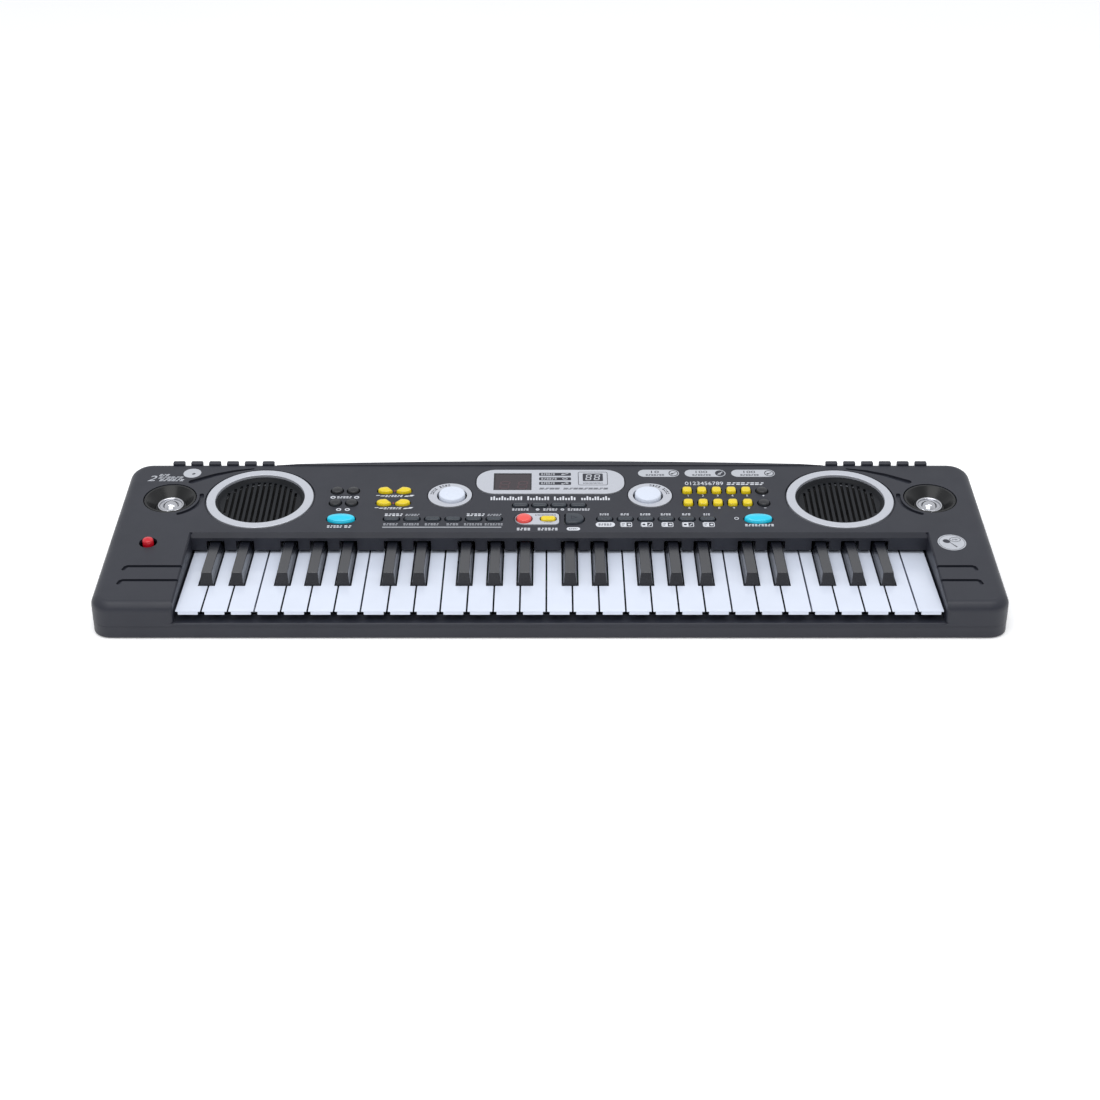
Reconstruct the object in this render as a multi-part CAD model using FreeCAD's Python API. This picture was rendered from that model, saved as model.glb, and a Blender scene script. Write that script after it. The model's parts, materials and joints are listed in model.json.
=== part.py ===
"""Toy electronic keyboard with 49 keys: a two-shell case, hinged keys, sprung buttons,
two speakers, two tweeters, a display, circuit boards and a battery bay.

While it is built, X is measured from the middle of the case (right is positive), Y from
the front face towards the rear and Z from the table. At the end every node is moved so
that the origin is the middle of the base. Features of the sloping speaker panel are drawn
flat, with Z = 0 on the panel's surface, and on_panel() lays them on the slope.
"""
import FreeCAD, Part
import math
import os

V = FreeCAD.Vector
X_AXIS = V(1, 0, 0)
Y_AXIS = V(0, 1, 0)
Z_AXIS = V(0, 0, 1)

# case
BODY_WIDTH = 626.5
BODY_DEPTH = 185.0
HALF_WIDTH = BODY_WIDTH / 2
FOOT_HEIGHT = 0.4
PARTING_Z = 9.5
PANEL_TILT = 5.9
PANEL_Z0 = 26.7
FRONT_CORNER = 14.0
REAR_CORNER = 16.0
TOP_ROUND = 7.0
BOTTOM_ROUND = 1.2
WALL = 2.4
SEAM = 0.2
LOWER_INSET = 0.1
FLOOR_Z = FOOT_HEIGHT + WALL
TALL = 80.0
REAR_LIP_HALF = 205.0
REAR_LIP_HEIGHT = 0.9
REAR_LIP_DEPTH = 4.8
REAR_LIP_CHAMFER = 0.8
REAR_TRIM_INSET = 0.8
REAR_TRIM_ROOT = -5.0
FINS = 6
FIN_HEIGHT = 1.1
FIN_PITCH = 13.4
FIN_WIDTH = 9.0
FIN_STARTS = (-283.0, 207.0)

# key well
WELL_LEFT = -256.0
WELL_RIGHT = 269.0
WELL_REAR = 86.5
WELL_WALL = 2.2
RAIL_TOP = 12.0
RAIL_DEPTH = 13.0
WELL_LINTEL_Z = 22.6
WELL_BEVEL = 2.2
WELL_BEVEL_HEIGHT = 3.6
WELL_EDGE = 1.0
RAIL_ROUND = 1.6
CHEEK_ROUND = 2.8

# keys
WHITE_COUNT = 29
KEY_PITCH = 18.05
KEY_GAP = 1.1
KEYS_LEFT = (WELL_LEFT + WELL_RIGHT - WHITE_COUNT * KEY_PITCH) / 2
OCTAVE = 7 * KEY_PITCH
BLACK_PITCH = 2 * OCTAVE / 12
WHITE_TOP = 20.0
WHITE_FRONT = 3.5
WHITE_PLATE = 0.7
WHITE_CORNER = 0.45
WHITE_SKIRT_Z = 16.9
WHITE_SKIRT_INSET = 1.75
WHITE_RIB_Z = 12.2
RIB = 1.5
PLATE_REAR = 94.0
BLACK_TOP = 28.6
BLACK_WAIST_Z = 22.4
BLACK_FRONT = 39.2
BLACK_WAIST_SLANT = 0.7
BLACK_SLANT = 3.4
BLACK_BASE = 10.3
BLACK_WAIST = 8.6
BLACK_CREST = 7.1
BLACK_CLEARANCE = 0.8
PIVOT_Y = 116.0
PIVOT_Z = 14.4
PIVOT_R = 1.25
PIVOT_CLEARANCE = 0.06
TAIL_TOP = 17.4
TAIL_BOTTOM = 11.4
TAIL_WIDTH = 8.4
TAIL_REAR = 119.5
PLUNGER_Y = 62.0
PLUNGER_HALF = 1.6
PLUNGER_Z = 11.7

# styling grooves: across each cheek at a depth V, and how far each runs past its usual end
CHEEK_GROOVES = ((46.3, -3.6), (29.3, -3.0))
GROOVE_WIDTH = 2.8
GROOVE_DEPTH = 1.7
# crescent groove beside a tweeter: radius, first and last angle, width
CRESCENT_GROOVE = (23.0, 168.0, 246.0, 3.2)
# groove from a speaker ring to a tweeter: points from the ring outwards, each with a half width
TANGENT_GROOVE = (((222.0, 175.4), 0.8), ((235.4, 172.4), 1.4), ((249.6, 166.7), 2.0), ((265.4, 157.2), 2.5))

# speakers, in panel coordinates
WOOFER_X = 212.0
SPEAKER_V = 133.7
RING_OUTER = 39.0
RING_INNER = 32.5
RING_RECESS = 40.3
RECESS_DEPTH = 1.7
RING_PROUD = 0.5
DISH_DEPTH = 3.6
GRILLE_R = 29.5
SLOT_PITCH = 4.1
SLOT_WIDTH = 2.0
SLOT_COUNT = 13
TWEETER_X = 278.0
TWEETER_V = 134.6
TWEETER_R = 18.9
TWEETER_GAP = 0.6
TWEETER_DEPTH = 7.0
TWEETER_MOUTH = 17.5
TWEETER_THROAT = 10.8
TWEETER_RING = 9.9

# panel features, in panel coordinates
PLATE_SUNK = 1.6
PLATE_GAP = 0.9
DISPLAY_CORNER = 14.5
RECORD_CORNER = 3.4
PLATE_PROUD = 0.4
DISPLAY_PLATE = (-54.3, 54.9, 140.1, 173.4)
DISPLAY_WINDOW = (-41.7, -13.6, 145.0, 168.6)
RECORD_PLATE = (-25.2, 6.5, 98.9, 113.7)
DEMO_X = 73.3
DEMO_V = 138.2
DEMO_DISC_R = 16.0
DEMO_OFFSET = 1.5

# buttons, in panel coordinates
BUTTON_PROUD = {
    "power_button": 3.0,
    "chord_buttons": 1.7,
    "chord_off_button": 2.2,
    "volume_buttons": 1.9,
    "demo_one_button": 2.8,
    "demo_all_button": 2.8,
    "left_function_buttons": 1.3,
    "lesson_tempo_buttons": 1.3,
    "program_button": 2.2,
    "record_button": 1.7,
    "play_button": 1.5,
    "right_sound_buttons": 1.3,
    "number_buttons": 2.2,
    "step_buttons": 1.7,
    "tone_rhythm_button": 2.2,
}
BUTTON_GAP = 0.9
WIDE_GAPS = {"power_button": 2.5, "demo_one_button": 1.4, "demo_all_button": 1.4}
BUTTON_TRAVEL = 1.2
FLANGE_TOP = -3.0
FLANGE_BOTTOM = -4.0
FLANGE_REACH = 0.3
STEM_R = 1.6
STEM_BOTTOM = -6.3
MAT_TOP = -7.6
BOARD_TOP = -8.4
BOARD_THICK = 1.6

UPPER_ROW = 144.3
LOWER_ROW = 127.7
CENTRE_ROW = 124.7
FRONT_ROW = 106.3
PILL = (11.0, 4.6)
FUNCTION_PITCH = 14.8

# Each button: outline kind, centre X, centre V, width, depth.
BUTTONS = {
    "power_button": [("round", -284.3, 76.0, 7.8, 7.8)],
    "chord_buttons": [("round", x, v, 8.2, 8.2) for v in (UPPER_ROW, LOWER_ROW) for x in (-156.4, -144.6)],
    "chord_off_button": [("oval", -150.5, FRONT_ROW, 20.0, 10.6)],
    "volume_buttons": [
        (kind, x, v, 11.3, 7.0)
        for v in (UPPER_ROW, LOWER_ROW)
        for kind, x in (("leaf_left", -120.7), ("leaf_right", -107.7))
    ],
    "demo_one_button": [("round", -DEMO_X + DEMO_OFFSET, DEMO_V - 0.6, 19.4, 19.4)],
    "demo_all_button": [("round", DEMO_X - DEMO_OFFSET, DEMO_V - 0.6, 19.4, 19.4)],
    "left_function_buttons": [("pill", -114.2 + FUNCTION_PITCH * i, FRONT_ROW) + PILL for i in range(6)],
    "lesson_tempo_buttons": [("pill", -21.5 + 14.0 * i, CENTRE_ROW) + PILL for i in range(4)],
    "program_button": [("round", -18.7, FRONT_ROW, 10.8, 10.8)],
    "record_button": [("pill", -1.3, FRONT_ROW, 10.8, 5.6)],
    "play_button": [("dee", 17.8, FRONT_ROW, 13.3, 12.6)],
    "right_sound_buttons": [("pill", 39.4 + FUNCTION_PITCH * i, FRONT_ROW) + PILL for i in range(6)],
    "number_buttons": [("square", 100.8 + 10.8 * i, v, 6.8, 7.0) for v in (UPPER_ROW, LOWER_ROW) for i in range(5)],
    "step_buttons": [("round", 155.8, v, 8.2, 8.2) for v in (UPPER_ROW, LOWER_ROW)],
    "tone_rhythm_button": [("oval", 150.0, FRONT_ROW, 20.0, 10.6)],
}

# screws and feet
CASE_POSTS = [(x, 174.0) for x in (-290.0, -160.0, -60.0, 60.0, 160.0, 290.0)]
CASE_POSTS += [(-290.0, 20.0), (290.0, 20.0), (-294.0, 97.0), (294.0, 97.0)]
RAIL_POSTS = [(x, 8.5) for x in (-190.0, -60.0, 70.0, 200.0)]
POST_R = 3.6
POST_FOOT_Z = 12.0
RAIL_POST_R = 2.9
RAIL_POST_FOOT_Z = 7.0
POST_COLLAR = 0.6
CASE_SCREW_TIP_Z = 20.0
RAIL_SCREW_TIP_Z = 11.0
PILOT_SPARE = 0.2
SCREW_R = 1.3
SCREW_HEAD_R = 2.6
SCREW_CLEARANCE = 0.1
FEET = [(x, y) for x in (-270.0, 0.0, 270.0) for y in (24.0, 158.0)]
FOOT_R = 7.0

# battery bay: four AA cells side by side in a drop in the bottom case
CELL_R = 7.1
CELL_LENGTH = 50.0
CELL_PITCH = 15.0
CELL_Z = 11.6
BAY = (-150.0, -88.0, 124.2, 177.5)
BAY_WALL = 2.0
BAY_TOP = 21.0
DOOR_THICK = 1.6
DOOR_GAP = 0.3
DOOR_TRAVEL = 18.0

# sockets in the rear wall
DC_X = 96.0
MIC_X = 130.0
SOCKET_Z = 26.0
SOCKET_BODY = 12.0
SOCKET_LENGTH = 20.0
SOCKET_PLATE = 12.6
SOCKET_PLATE_TOP = 33.2
NOTCH_GAP = 0.3
DC_BORE_R = 2.8
DC_DEPTH = 10.0
MIC_BORE_R = 1.85
MIC_DEPTH = 14.0

# boards and key frame
CONTACT_BOARD = (-254.0, 267.0, 44.0, 84.0)
CONTACT_BOARD_Z = 5.6
CONTACT_POSTS = [(x, y) for x in (-235.0, -105.0, 15.0, 105.0, 235.0) for y in (47.0, 81.0)]
MAIN_BOARD = (-168.0, 168.0, 97.0, 166.0)
BOARD_POSTS = [(-164.0, 101.0), (164.0, 101.0), (-164.0, 163.0), (164.0, 163.0), (-62.0, 163.0), (62.0, 163.0)]
WOOFER_SCREW_CIRCLE = 35.6
WOOFER_FRAME_TOP = -5.0
FRAME_FOOT = FLOOR_Z + 0.1
FRAME_REAR_BAR = (103.0, 121.8)
FRAME_FRONT_BAR = (19.0, 27.0)
RIBBON = (62.0, 80.0)


def box(x0, x1, y0, y1, z0, z1):
    """Solid block between two corners."""
    return Part.makeBox(x1 - x0, y1 - y0, z1 - z0, V(x0, y0, z0))


def rod(x, y, z, radius, height, axis=Z_AXIS):
    """Cylinder from a foot point along an axis."""
    return Part.makeCylinder(radius, height, V(x, y, z), axis)


def cone(x, y, z, foot_radius, end_radius, height):
    """Truncated cone standing on a foot point."""
    return Part.makeCone(foot_radius, end_radius, height, V(x, y, z), Z_AXIS)


def ring(x, y, outer, inner, z0, z1):
    """Flat ring between two heights."""
    return rod(x, y, z0, outer, z1 - z0).cut(rod(x, y, z0 - 1, inner, z1 - z0 + 2))


def fuse(shapes):
    """One solid from overlapping solids."""
    whole = shapes[0]
    if len(shapes) > 1:
        whole = whole.multiFuse(shapes[1:])
    return whole.removeSplitter()


def prism(edges, z0, z1):
    """Upright solid on a closed outline drawn at height zero."""
    face = Part.Face(Part.Wire(edges))
    solid = face.extrude(V(0, 0, z1 - z0))
    solid.translate(V(0, 0, z0))
    return solid


def line(a, b):
    """Straight edge at height zero."""
    return Part.LineSegment(V(a[0], a[1], 0), V(b[0], b[1], 0)).toShape()


def arc(a, middle, b):
    """Arc edge through three points at height zero."""
    return Part.Arc(V(a[0], a[1], 0), V(middle[0], middle[1], 0), V(b[0], b[1], 0)).toShape()


def rounded_outline(x0, x1, y0, y1, front, rear):
    """Rectangle with one radius at its front corners and another at its rear corners."""
    edges = []
    corners = [
        (x1 - front, y0 + front, front, -90),
        (x1 - rear, y1 - rear, rear, 0),
        (x0 + rear, y1 - rear, rear, 90),
        (x0 + front, y0 + front, front, 180),
    ]
    ends = []
    for cx, cy, radius, start in corners:
        points = []
        for turn in (0, 45, 90):
            angle = math.radians(start + turn)
            points.append((cx + radius * math.cos(angle), cy + radius * math.sin(angle)))
        ends.append(points)
    for index, points in enumerate(ends):
        edges.append(arc(*points))
        following = ends[(index + 1) % 4]
        if math.dist(points[2], following[0]) > 1e-6:
            edges.append(line(points[2], following[0]))
    return edges


def slab(x0, x1, y0, y1, z0, z1, radius):
    """Block with round upright corners."""
    return prism(rounded_outline(x0, x1, y0, y1, radius, radius), z0, z1)


def on_panel(shape):
    """Lay a shape drawn flat onto the sloping panel."""
    placed = shape.copy()
    placed.rotate(V(0, 0, 0), X_AXIS, PANEL_TILT)
    placed.translate(V(0, 0, PANEL_Z0))
    return placed


def height_over_panel(point):
    """Distance of a point above the panel's surface."""
    tilt = math.radians(PANEL_TILT)
    return (point.z - PANEL_Z0) * math.cos(tilt) - point.y * math.sin(tilt)


def round_edges(solid, radius, wanted):
    """Fillet the edges whose vertices all pass a test."""
    edges = [edge for edge in solid.Edges if all(wanted(vertex.Point) for vertex in edge.Vertexes)]
    return solid.makeFillet(radius, edges)


# ---------------------------------------------------------------- case


def case_plan(inset, z0, z1):
    """Upright solid on the plan of the case, drawn in by an inset."""
    edges = rounded_outline(
        inset - HALF_WIDTH,
        HALF_WIDTH - inset,
        inset,
        BODY_DEPTH - inset,
        FRONT_CORNER - inset,
        REAR_CORNER - inset,
    )
    return prism(edges, z0, z1)


def under_panel(shape, drop):
    """Keep what lies below the panel's surface lowered by a drop."""
    above = box(-HALF_WIDTH - 50, HALF_WIDTH + 50, -100, BODY_DEPTH + 100, -drop, TALL * 2)
    return shape.cut(on_panel(above))


def case_block(inset, z0):
    """Outer or inner form of the upper case with its rounded top edge."""
    block = under_panel(case_plan(inset, z0, TALL), inset)
    return round_edges(block, TOP_ROUND - inset, lambda point: abs(height_over_panel(point) + inset) < 1e-4)


def black_centres():
    """Note name and centre X of every black key."""
    centres = []
    for octave in range(4):
        start = KEYS_LEFT + octave * OCTAVE
        low_group = start + 1.5 * KEY_PITCH
        high_group = start + 5.0 * KEY_PITCH
        centres.append(("c_sharp", low_group - BLACK_PITCH / 2))
        centres.append(("d_sharp", low_group + BLACK_PITCH / 2))
        centres.append(("f_sharp", high_group - BLACK_PITCH))
        centres.append(("g_sharp", high_group))
        centres.append(("a_sharp", high_group + BLACK_PITCH))
    return centres


def well_cutters():
    """Everything cut out of the upper case for the keys."""
    cutters = [
        box(WELL_LEFT, WELL_RIGHT, -1, WELL_REAR, RAIL_TOP, TALL),
        box(WELL_LEFT, WELL_RIGHT, RAIL_DEPTH, WELL_REAR, 0, RAIL_TOP + 1),
        box(WELL_LEFT, WELL_RIGHT, WALL, RAIL_DEPTH + 1, 0, RAIL_TOP - WALL),
        box(WELL_LEFT, WELL_RIGHT, WELL_REAR - 1, WELL_REAR + WELL_WALL + 1, 0, WELL_LINTEL_Z),
    ]
    half = BLACK_BASE / 2 + 1.2
    for _note, x in black_centres():
        cutters.append(box(x - half, x + half, WELL_REAR - 1, WELL_REAR + WELL_WALL + 1, 0, BLACK_TOP + 1.4))
    cutters.append(rear_bevel_cutter())
    for x, side in ((WELL_LEFT, -1), (WELL_RIGHT, 1)):
        cutters.append(edge_bevel_cutter(x, side))
        cutters.append(cheek_round_cutter(x, side))
    cutters.append(rail_round_cutter())
    return cutters


def rail_round_cutter():
    """What rounds the rail's upper front edge off."""
    corner = box(WELL_LEFT, WELL_RIGHT, -1, RAIL_ROUND, RAIL_TOP - RAIL_ROUND, RAIL_TOP + 1)
    return corner.cut(rod(WELL_LEFT - 1, RAIL_ROUND, RAIL_TOP - RAIL_ROUND, RAIL_ROUND, BODY_WIDTH, X_AXIS))


def cheek_round_cutter(x, side):
    """What rounds a cheek's upright front edge off beside the keys."""
    inner = x + side * CHEEK_ROUND
    corner = box(min(x, inner), max(x, inner), -1, CHEEK_ROUND, RAIL_TOP, TALL)
    return corner.cut(rod(inner, CHEEK_ROUND, 0, CHEEK_ROUND, TALL * 2))


def rear_bevel_cutter():
    """Wedge that bevels the panel's front edge above the keys."""
    edge_z = PANEL_Z0 + (WELL_REAR + WELL_BEVEL) * math.tan(math.radians(PANEL_TILT))
    points = [
        V(WELL_LEFT, WELL_REAR - 1, edge_z + 2),
        V(WELL_LEFT, WELL_REAR + WELL_BEVEL, edge_z + 2),
        V(WELL_LEFT, WELL_REAR + WELL_BEVEL, edge_z),
        V(WELL_LEFT, WELL_REAR, edge_z - WELL_BEVEL_HEIGHT),
        V(WELL_LEFT, WELL_REAR - 1, edge_z - WELL_BEVEL_HEIGHT),
    ]
    face = Part.Face(Part.makePolygon(points + points[:1]))
    return face.extrude(V(WELL_RIGHT - WELL_LEFT, 0, 0))


def edge_bevel_cutter(x, side):
    """Wedge that breaks the upper edge of a cheek beside the keys."""
    points = [
        V(x - side, -5, 2),
        V(x + side * WELL_EDGE, -5, 2),
        V(x + side * WELL_EDGE, -5, 0),
        V(x, -5, -WELL_EDGE * 1.4),
        V(x - side, -5, -WELL_EDGE * 1.4),
    ]
    face = Part.Face(Part.makePolygon(points + points[:1]))
    return on_panel(face.extrude(V(0, WELL_REAR + WELL_BEVEL + 5.4, 0)))


def groove(points, width, depth):
    """Cutter for a groove along straight runs in the panel, with round ends."""
    pieces = []
    for a, b in zip(points, points[1:]):
        length = math.dist(a, b)
        run = box(0, length, -width / 2, width / 2, -depth, 2)
        run.rotate(V(0, 0, 0), Z_AXIS, math.degrees(math.atan2(b[1] - a[1], b[0] - a[0])))
        run.translate(V(a[0], a[1], 0))
        pieces.append(run)
    for x, y in points:
        pieces.append(rod(x, y, -depth, width / 2, depth + 2))
    return fuse(pieces)


def arc_groove(x, y, radius, start, end, width, depth):
    """Cutter for a groove along an arc in the panel; angles in degrees."""
    band = ring(x, y, radius + width / 2, radius - width / 2, -depth, 2)
    sector = Part.makeCylinder(radius * 2, depth + 2, V(x, y, -depth), Z_AXIS, end - start)
    sector.rotate(V(x, y, 0), Z_AXIS, start)
    pieces = [band.common(sector)]
    for angle in (start, end):
        foot_x = x + radius * math.cos(math.radians(angle))
        foot_y = y + radius * math.sin(math.radians(angle))
        pieces.append(rod(foot_x, foot_y, -depth, width / 2, depth + 2))
    return fuse(pieces)


def mirrored(shape, side):
    """The shape itself on the right side, its mirror image on the left side."""
    return shape if side > 0 else shape.mirror(V(0, 0, 0), X_AXIS)


def tapered_groove(start, start_r, end, end_r, depth):
    """Cutter for a straight groove that widens from one round end to the other."""
    length = math.dist(start, end)
    lean = math.asin((end_r - start_r) / length)
    edge = []
    for x, radius in ((0, start_r), (length, end_r)):
        edge.append((x - radius * math.sin(lean), radius * math.cos(lean)))
    corners = [edge[0], edge[1], (edge[1][0], -edge[1][1]), (edge[0][0], -edge[0][1])]
    sides = [line(a, b) for a, b in zip(corners, corners[1:] + corners[:1])]
    cutter = fuse([
        prism(sides, -depth, 2),
        rod(0, 0, -depth, start_r, depth + 2),
        rod(length, 0, -depth, end_r, depth + 2),
    ])
    cutter.rotate(V(0, 0, 0), Z_AXIS, math.degrees(math.atan2(end[1] - start[1], end[0] - start[0])))
    cutter.translate(V(start[0], start[1], 0))
    return cutter


def styling_grooves():
    """Grooves beside the speakers and across the cheeks."""
    cutters = []
    for side in (-1, 1):
        for (start, start_r), (end, end_r) in zip(TANGENT_GROOVE, TANGENT_GROOVE[1:]):
            cutters.append(mirrored(tapered_groove(start, start_r, end, end_r, GROOVE_DEPTH), side))
        cutters.append(mirrored(arc_groove(TWEETER_X, TWEETER_V, *CRESCENT_GROOVE, GROOVE_DEPTH), side))
    for well_edge, outer in ((WELL_LEFT - 0.5, -299.0), (WELL_RIGHT + 0.5, 299.0)):
        side = 1 if outer > 0 else -1
        for v, length in CHEEK_GROOVES:
            end = outer + side * (length - 2)
            runs = [(well_edge, v), (end, v), (end + side * 1.5, v - 0.9), (end + side * 2.4, v - 3.8)]
            cutters.append(groove(runs, GROOVE_WIDTH, GROOVE_DEPTH))
    return cutters


def panel_recesses():
    """Pockets and holes for everything that is let into the panel."""
    cutters = []
    for side in (-1, 1):
        cutters.append(rod(side * WOOFER_X, SPEAKER_V, -RECESS_DEPTH, RING_RECESS, 4))
        cutters.append(rod(side * WOOFER_X, SPEAKER_V, -10, RING_INNER + 0.2, 14))
        cutters.append(rod(side * TWEETER_X, TWEETER_V, -12, TWEETER_R + TWEETER_GAP, 16))
        cutters.append(rod(side * DEMO_X, DEMO_V, -PLATE_SUNK, DEMO_DISC_R + PLATE_GAP, 4))
    for plate in (DISPLAY_PLATE, RECORD_PLATE):
        cutters.append(plate_blank(plate, -PLATE_SUNK, 4, PLATE_GAP))
    x0, x1, v0, v1 = DISPLAY_WINDOW
    cutters.append(slab(x0 - 1, x1 + 1, v0 - 1, v1 + 1, -8, 2, 1.0))
    return cutters


def plate_blank(plate, z0, z1, grow):
    """Plate with round corners; the record plate has a fully round left end."""
    x0, x1, v0, v1 = plate
    if plate is DISPLAY_PLATE:
        return slab(x0 - grow, x1 + grow, v0 - grow, v1 + grow, z0, z1, DISPLAY_CORNER + grow)
    radius = (v1 - v0) / 2 + grow
    round_end = slab(x0 - grow, x1 + grow - 1, v0 - grow, v1 + grow, z0, z1, radius - 0.001)
    square_end = slab(x0 + radius, x1 + grow, v0 - grow, v1 + grow, z0, z1, RECORD_CORNER + grow)
    return fuse([round_end, square_end])


def outline_solid(button, grow, z0, z1):
    """Upright solid on a button's outline, grown all round."""
    kind, x, v, width, depth = button
    half_w = width / 2 + grow
    half_d = depth / 2 + grow
    if kind == "round":
        return rod(x, v, z0, half_w, z1 - z0)
    if kind == "oval":
        ellipse = Part.Ellipse(V(x, v, 0), half_w, half_d)
        return prism([ellipse.toShape()], z0, z1)
    if kind == "pill":
        return slab(x - half_w, x + half_w, v - half_d, v + half_d, z0, z1, half_d - 0.3)
    if kind == "square":
        return slab(x - half_w, x + half_w, v - half_d, v + half_d, z0, z1, 2.0 + grow)
    if kind == "dee":
        flat = slab(x - half_w, x + half_w * 0.5, v - half_d, v + half_d, z0, z1, 1.6)
        nose = Part.Ellipse(V(x, v, 0), half_w, half_d).toShape()
        right = prism([nose], z0, z1).common(box(x, x + half_w, v - half_d, v + half_d, z0, z1))
        return fuse([flat.common(box(x - half_w, x, v - half_d, v + half_d, z0, z1)), right])
    return leaf_solid(x, v, half_w, half_d, 1 if kind == "leaf_left" else -1, z0, z1)


def leaf_solid(x, v, half_w, half_d, side, z0, z1):
    """Oval with its inner end cut off at a slant."""
    oval = prism([Part.Ellipse(V(x, v, 0), half_w, half_d).toShape()], z0, z1)
    cutter = box(0, half_w * 2, -half_d * 3, half_d * 3, z0 - 1, z1 + 1)
    cutter.rotate(V(0, 0, 0), Z_AXIS, 38)
    cutter.translate(V(half_w * 0.62, half_d * 0.2, 0))
    if side < 0:
        cutter = cutter.mirror(V(0, 0, 0), X_AXIS)
    cutter.translate(V(x, v, 0))
    return oval.cut(cutter)


def button_gap(name):
    """Clearance round the caps of a node."""
    return WIDE_GAPS.get(name, BUTTON_GAP)


def button_holes():
    """Clearance holes through the panel for every button."""
    holes = []
    for name, buttons in BUTTONS.items():
        for button in buttons:
            holes.append(outline_solid(button, button_gap(name), -7, 4))
    return holes


def rear_lip(rear):
    """Ridge behind the panel with a bowed rear edge that dies out at both ends."""
    front = rear - REAR_TRIM_INSET - REAR_LIP_DEPTH
    ends = [(-REAR_LIP_HALF, front), (REAR_LIP_HALF, front)]
    bow = arc(ends[0], (0, rear - REAR_TRIM_INSET), ends[1])
    ridge = prism([bow, line(ends[1], ends[0])], REAR_TRIM_ROOT, REAR_LIP_HEIGHT)
    low, high = REAR_LIP_HEIGHT - REAR_LIP_CHAMFER, REAR_LIP_HEIGHT + 1
    left = -REAR_LIP_HALF - 1
    corners = [V(left, front - 1, high), V(left, front - 1, low), V(left, front, low)]
    corners.append(V(left, front + high - low, high))
    face = Part.Face(Part.makePolygon(corners + corners[:1]))
    return ridge.cut(face.extrude(V(-2 * left, 0, 0)))


def rear_trim():
    """Raised lip and cooling fins along the rear edge of the panel."""
    rear = BODY_DEPTH / math.cos(math.radians(PANEL_TILT))
    pieces = [rear_lip(rear)]
    for first in FIN_STARTS:
        for index in range(FINS):
            x = first + FIN_PITCH * index
            fin = slab(x, x + FIN_WIDTH, rear - 5.4, rear - REAR_TRIM_INSET, REAR_TRIM_ROOT, FIN_HEIGHT, 1.2)
            pieces.append(round_edges(fin, 0.5, lambda point: point.z > 0))
    return [on_panel(piece) for piece in pieces]


def post_height(y):
    """Underside of the panel above a post."""
    return PANEL_Z0 + y * math.tan(math.radians(PANEL_TILT)) - 1.0


def upper_posts():
    """Screw posts that hang from the panel and from the rail."""
    posts = []
    for x, y in CASE_POSTS:
        posts.append(rod(x, y, POST_FOOT_Z, POST_R, post_height(y) - POST_FOOT_Z))
    for x, y in RAIL_POSTS:
        posts.append(rod(x, y, RAIL_POST_FOOT_Z, RAIL_POST_R, RAIL_TOP - 1.0 - RAIL_POST_FOOT_Z))
    return posts


def panel_posts():
    """Short posts behind the panel for the main board and the woofers."""
    posts = [rod(x, v, BOARD_TOP, 2.4, -BOARD_TOP - 1.2) for x, v in BOARD_POSTS]
    for side in (-1, 1):
        for angle in (45, 135, 225, 315):
            turn = math.radians(angle)
            x = side * WOOFER_X + WOOFER_SCREW_CIRCLE * math.cos(turn)
            v = SPEAKER_V + WOOFER_SCREW_CIRCLE * math.sin(turn)
            posts.append(rod(x, v, WOOFER_FRAME_TOP, 2.4, -WOOFER_FRAME_TOP - 1.4))
    return [on_panel(post) for post in posts]


def panel_pilots():
    """Screw holes in the short posts behind the panel."""
    pilots = [rod(x, v, BOARD_TOP - 1, SCREW_R + SCREW_CLEARANCE, 6.0) for x, v in BOARD_POSTS]
    for side in (-1, 1):
        for angle in (45, 135, 225, 315):
            pilots.append(screw_shaft(side * WOOFER_X, SPEAKER_V, angle, SCREW_R + SCREW_CLEARANCE))
    return pilots


def post_pilots():
    """Screw holes up into the posts."""
    radius = SCREW_R + SCREW_CLEARANCE
    pilots = []
    for x, y in CASE_POSTS:
        pilots.append(rod(x, y, POST_FOOT_Z - 1, radius, CASE_SCREW_TIP_Z + PILOT_SPARE - POST_FOOT_Z + 1))
    for x, y in RAIL_POSTS:
        height = RAIL_SCREW_TIP_Z + PILOT_SPARE - RAIL_POST_FOOT_Z + 1
        pilots.append(rod(x, y, RAIL_POST_FOOT_Z - 1, radius, height))
    return pilots


def rear_socket_notches():
    """Notches in the rear wall, open at the parting line, for the plates of the two sockets."""
    half = SOCKET_PLATE / 2 + NOTCH_GAP
    top = SOCKET_PLATE_TOP + NOTCH_GAP
    return [
        box(x - half, x + half, BODY_DEPTH - WALL - 1, BODY_DEPTH + 1, 0, top)
        for x in (DC_X, MIC_X)
    ]


def top_case():
    """Upper moulding: panel, cheeks, rail, well walls, posts, lip and fins."""
    outer = case_block(0, PARTING_Z)
    inner = case_block(WALL, PARTING_Z - 1)
    guard = box(WELL_LEFT - WELL_WALL, WELL_RIGHT + WELL_WALL, -1, WELL_REAR + WELL_WALL, 0, TALL)
    shell = outer.cut(inner.cut(guard))
    shell = fuse([shell] + rear_trim() + upper_posts() + panel_posts())
    panel_tools = styling_grooves() + panel_recesses() + button_holes() + panel_pilots()
    tools = well_cutters() + [on_panel(tool) for tool in panel_tools]
    tools += post_pilots() + rear_socket_notches()
    return shell.cut(tools)


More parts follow.
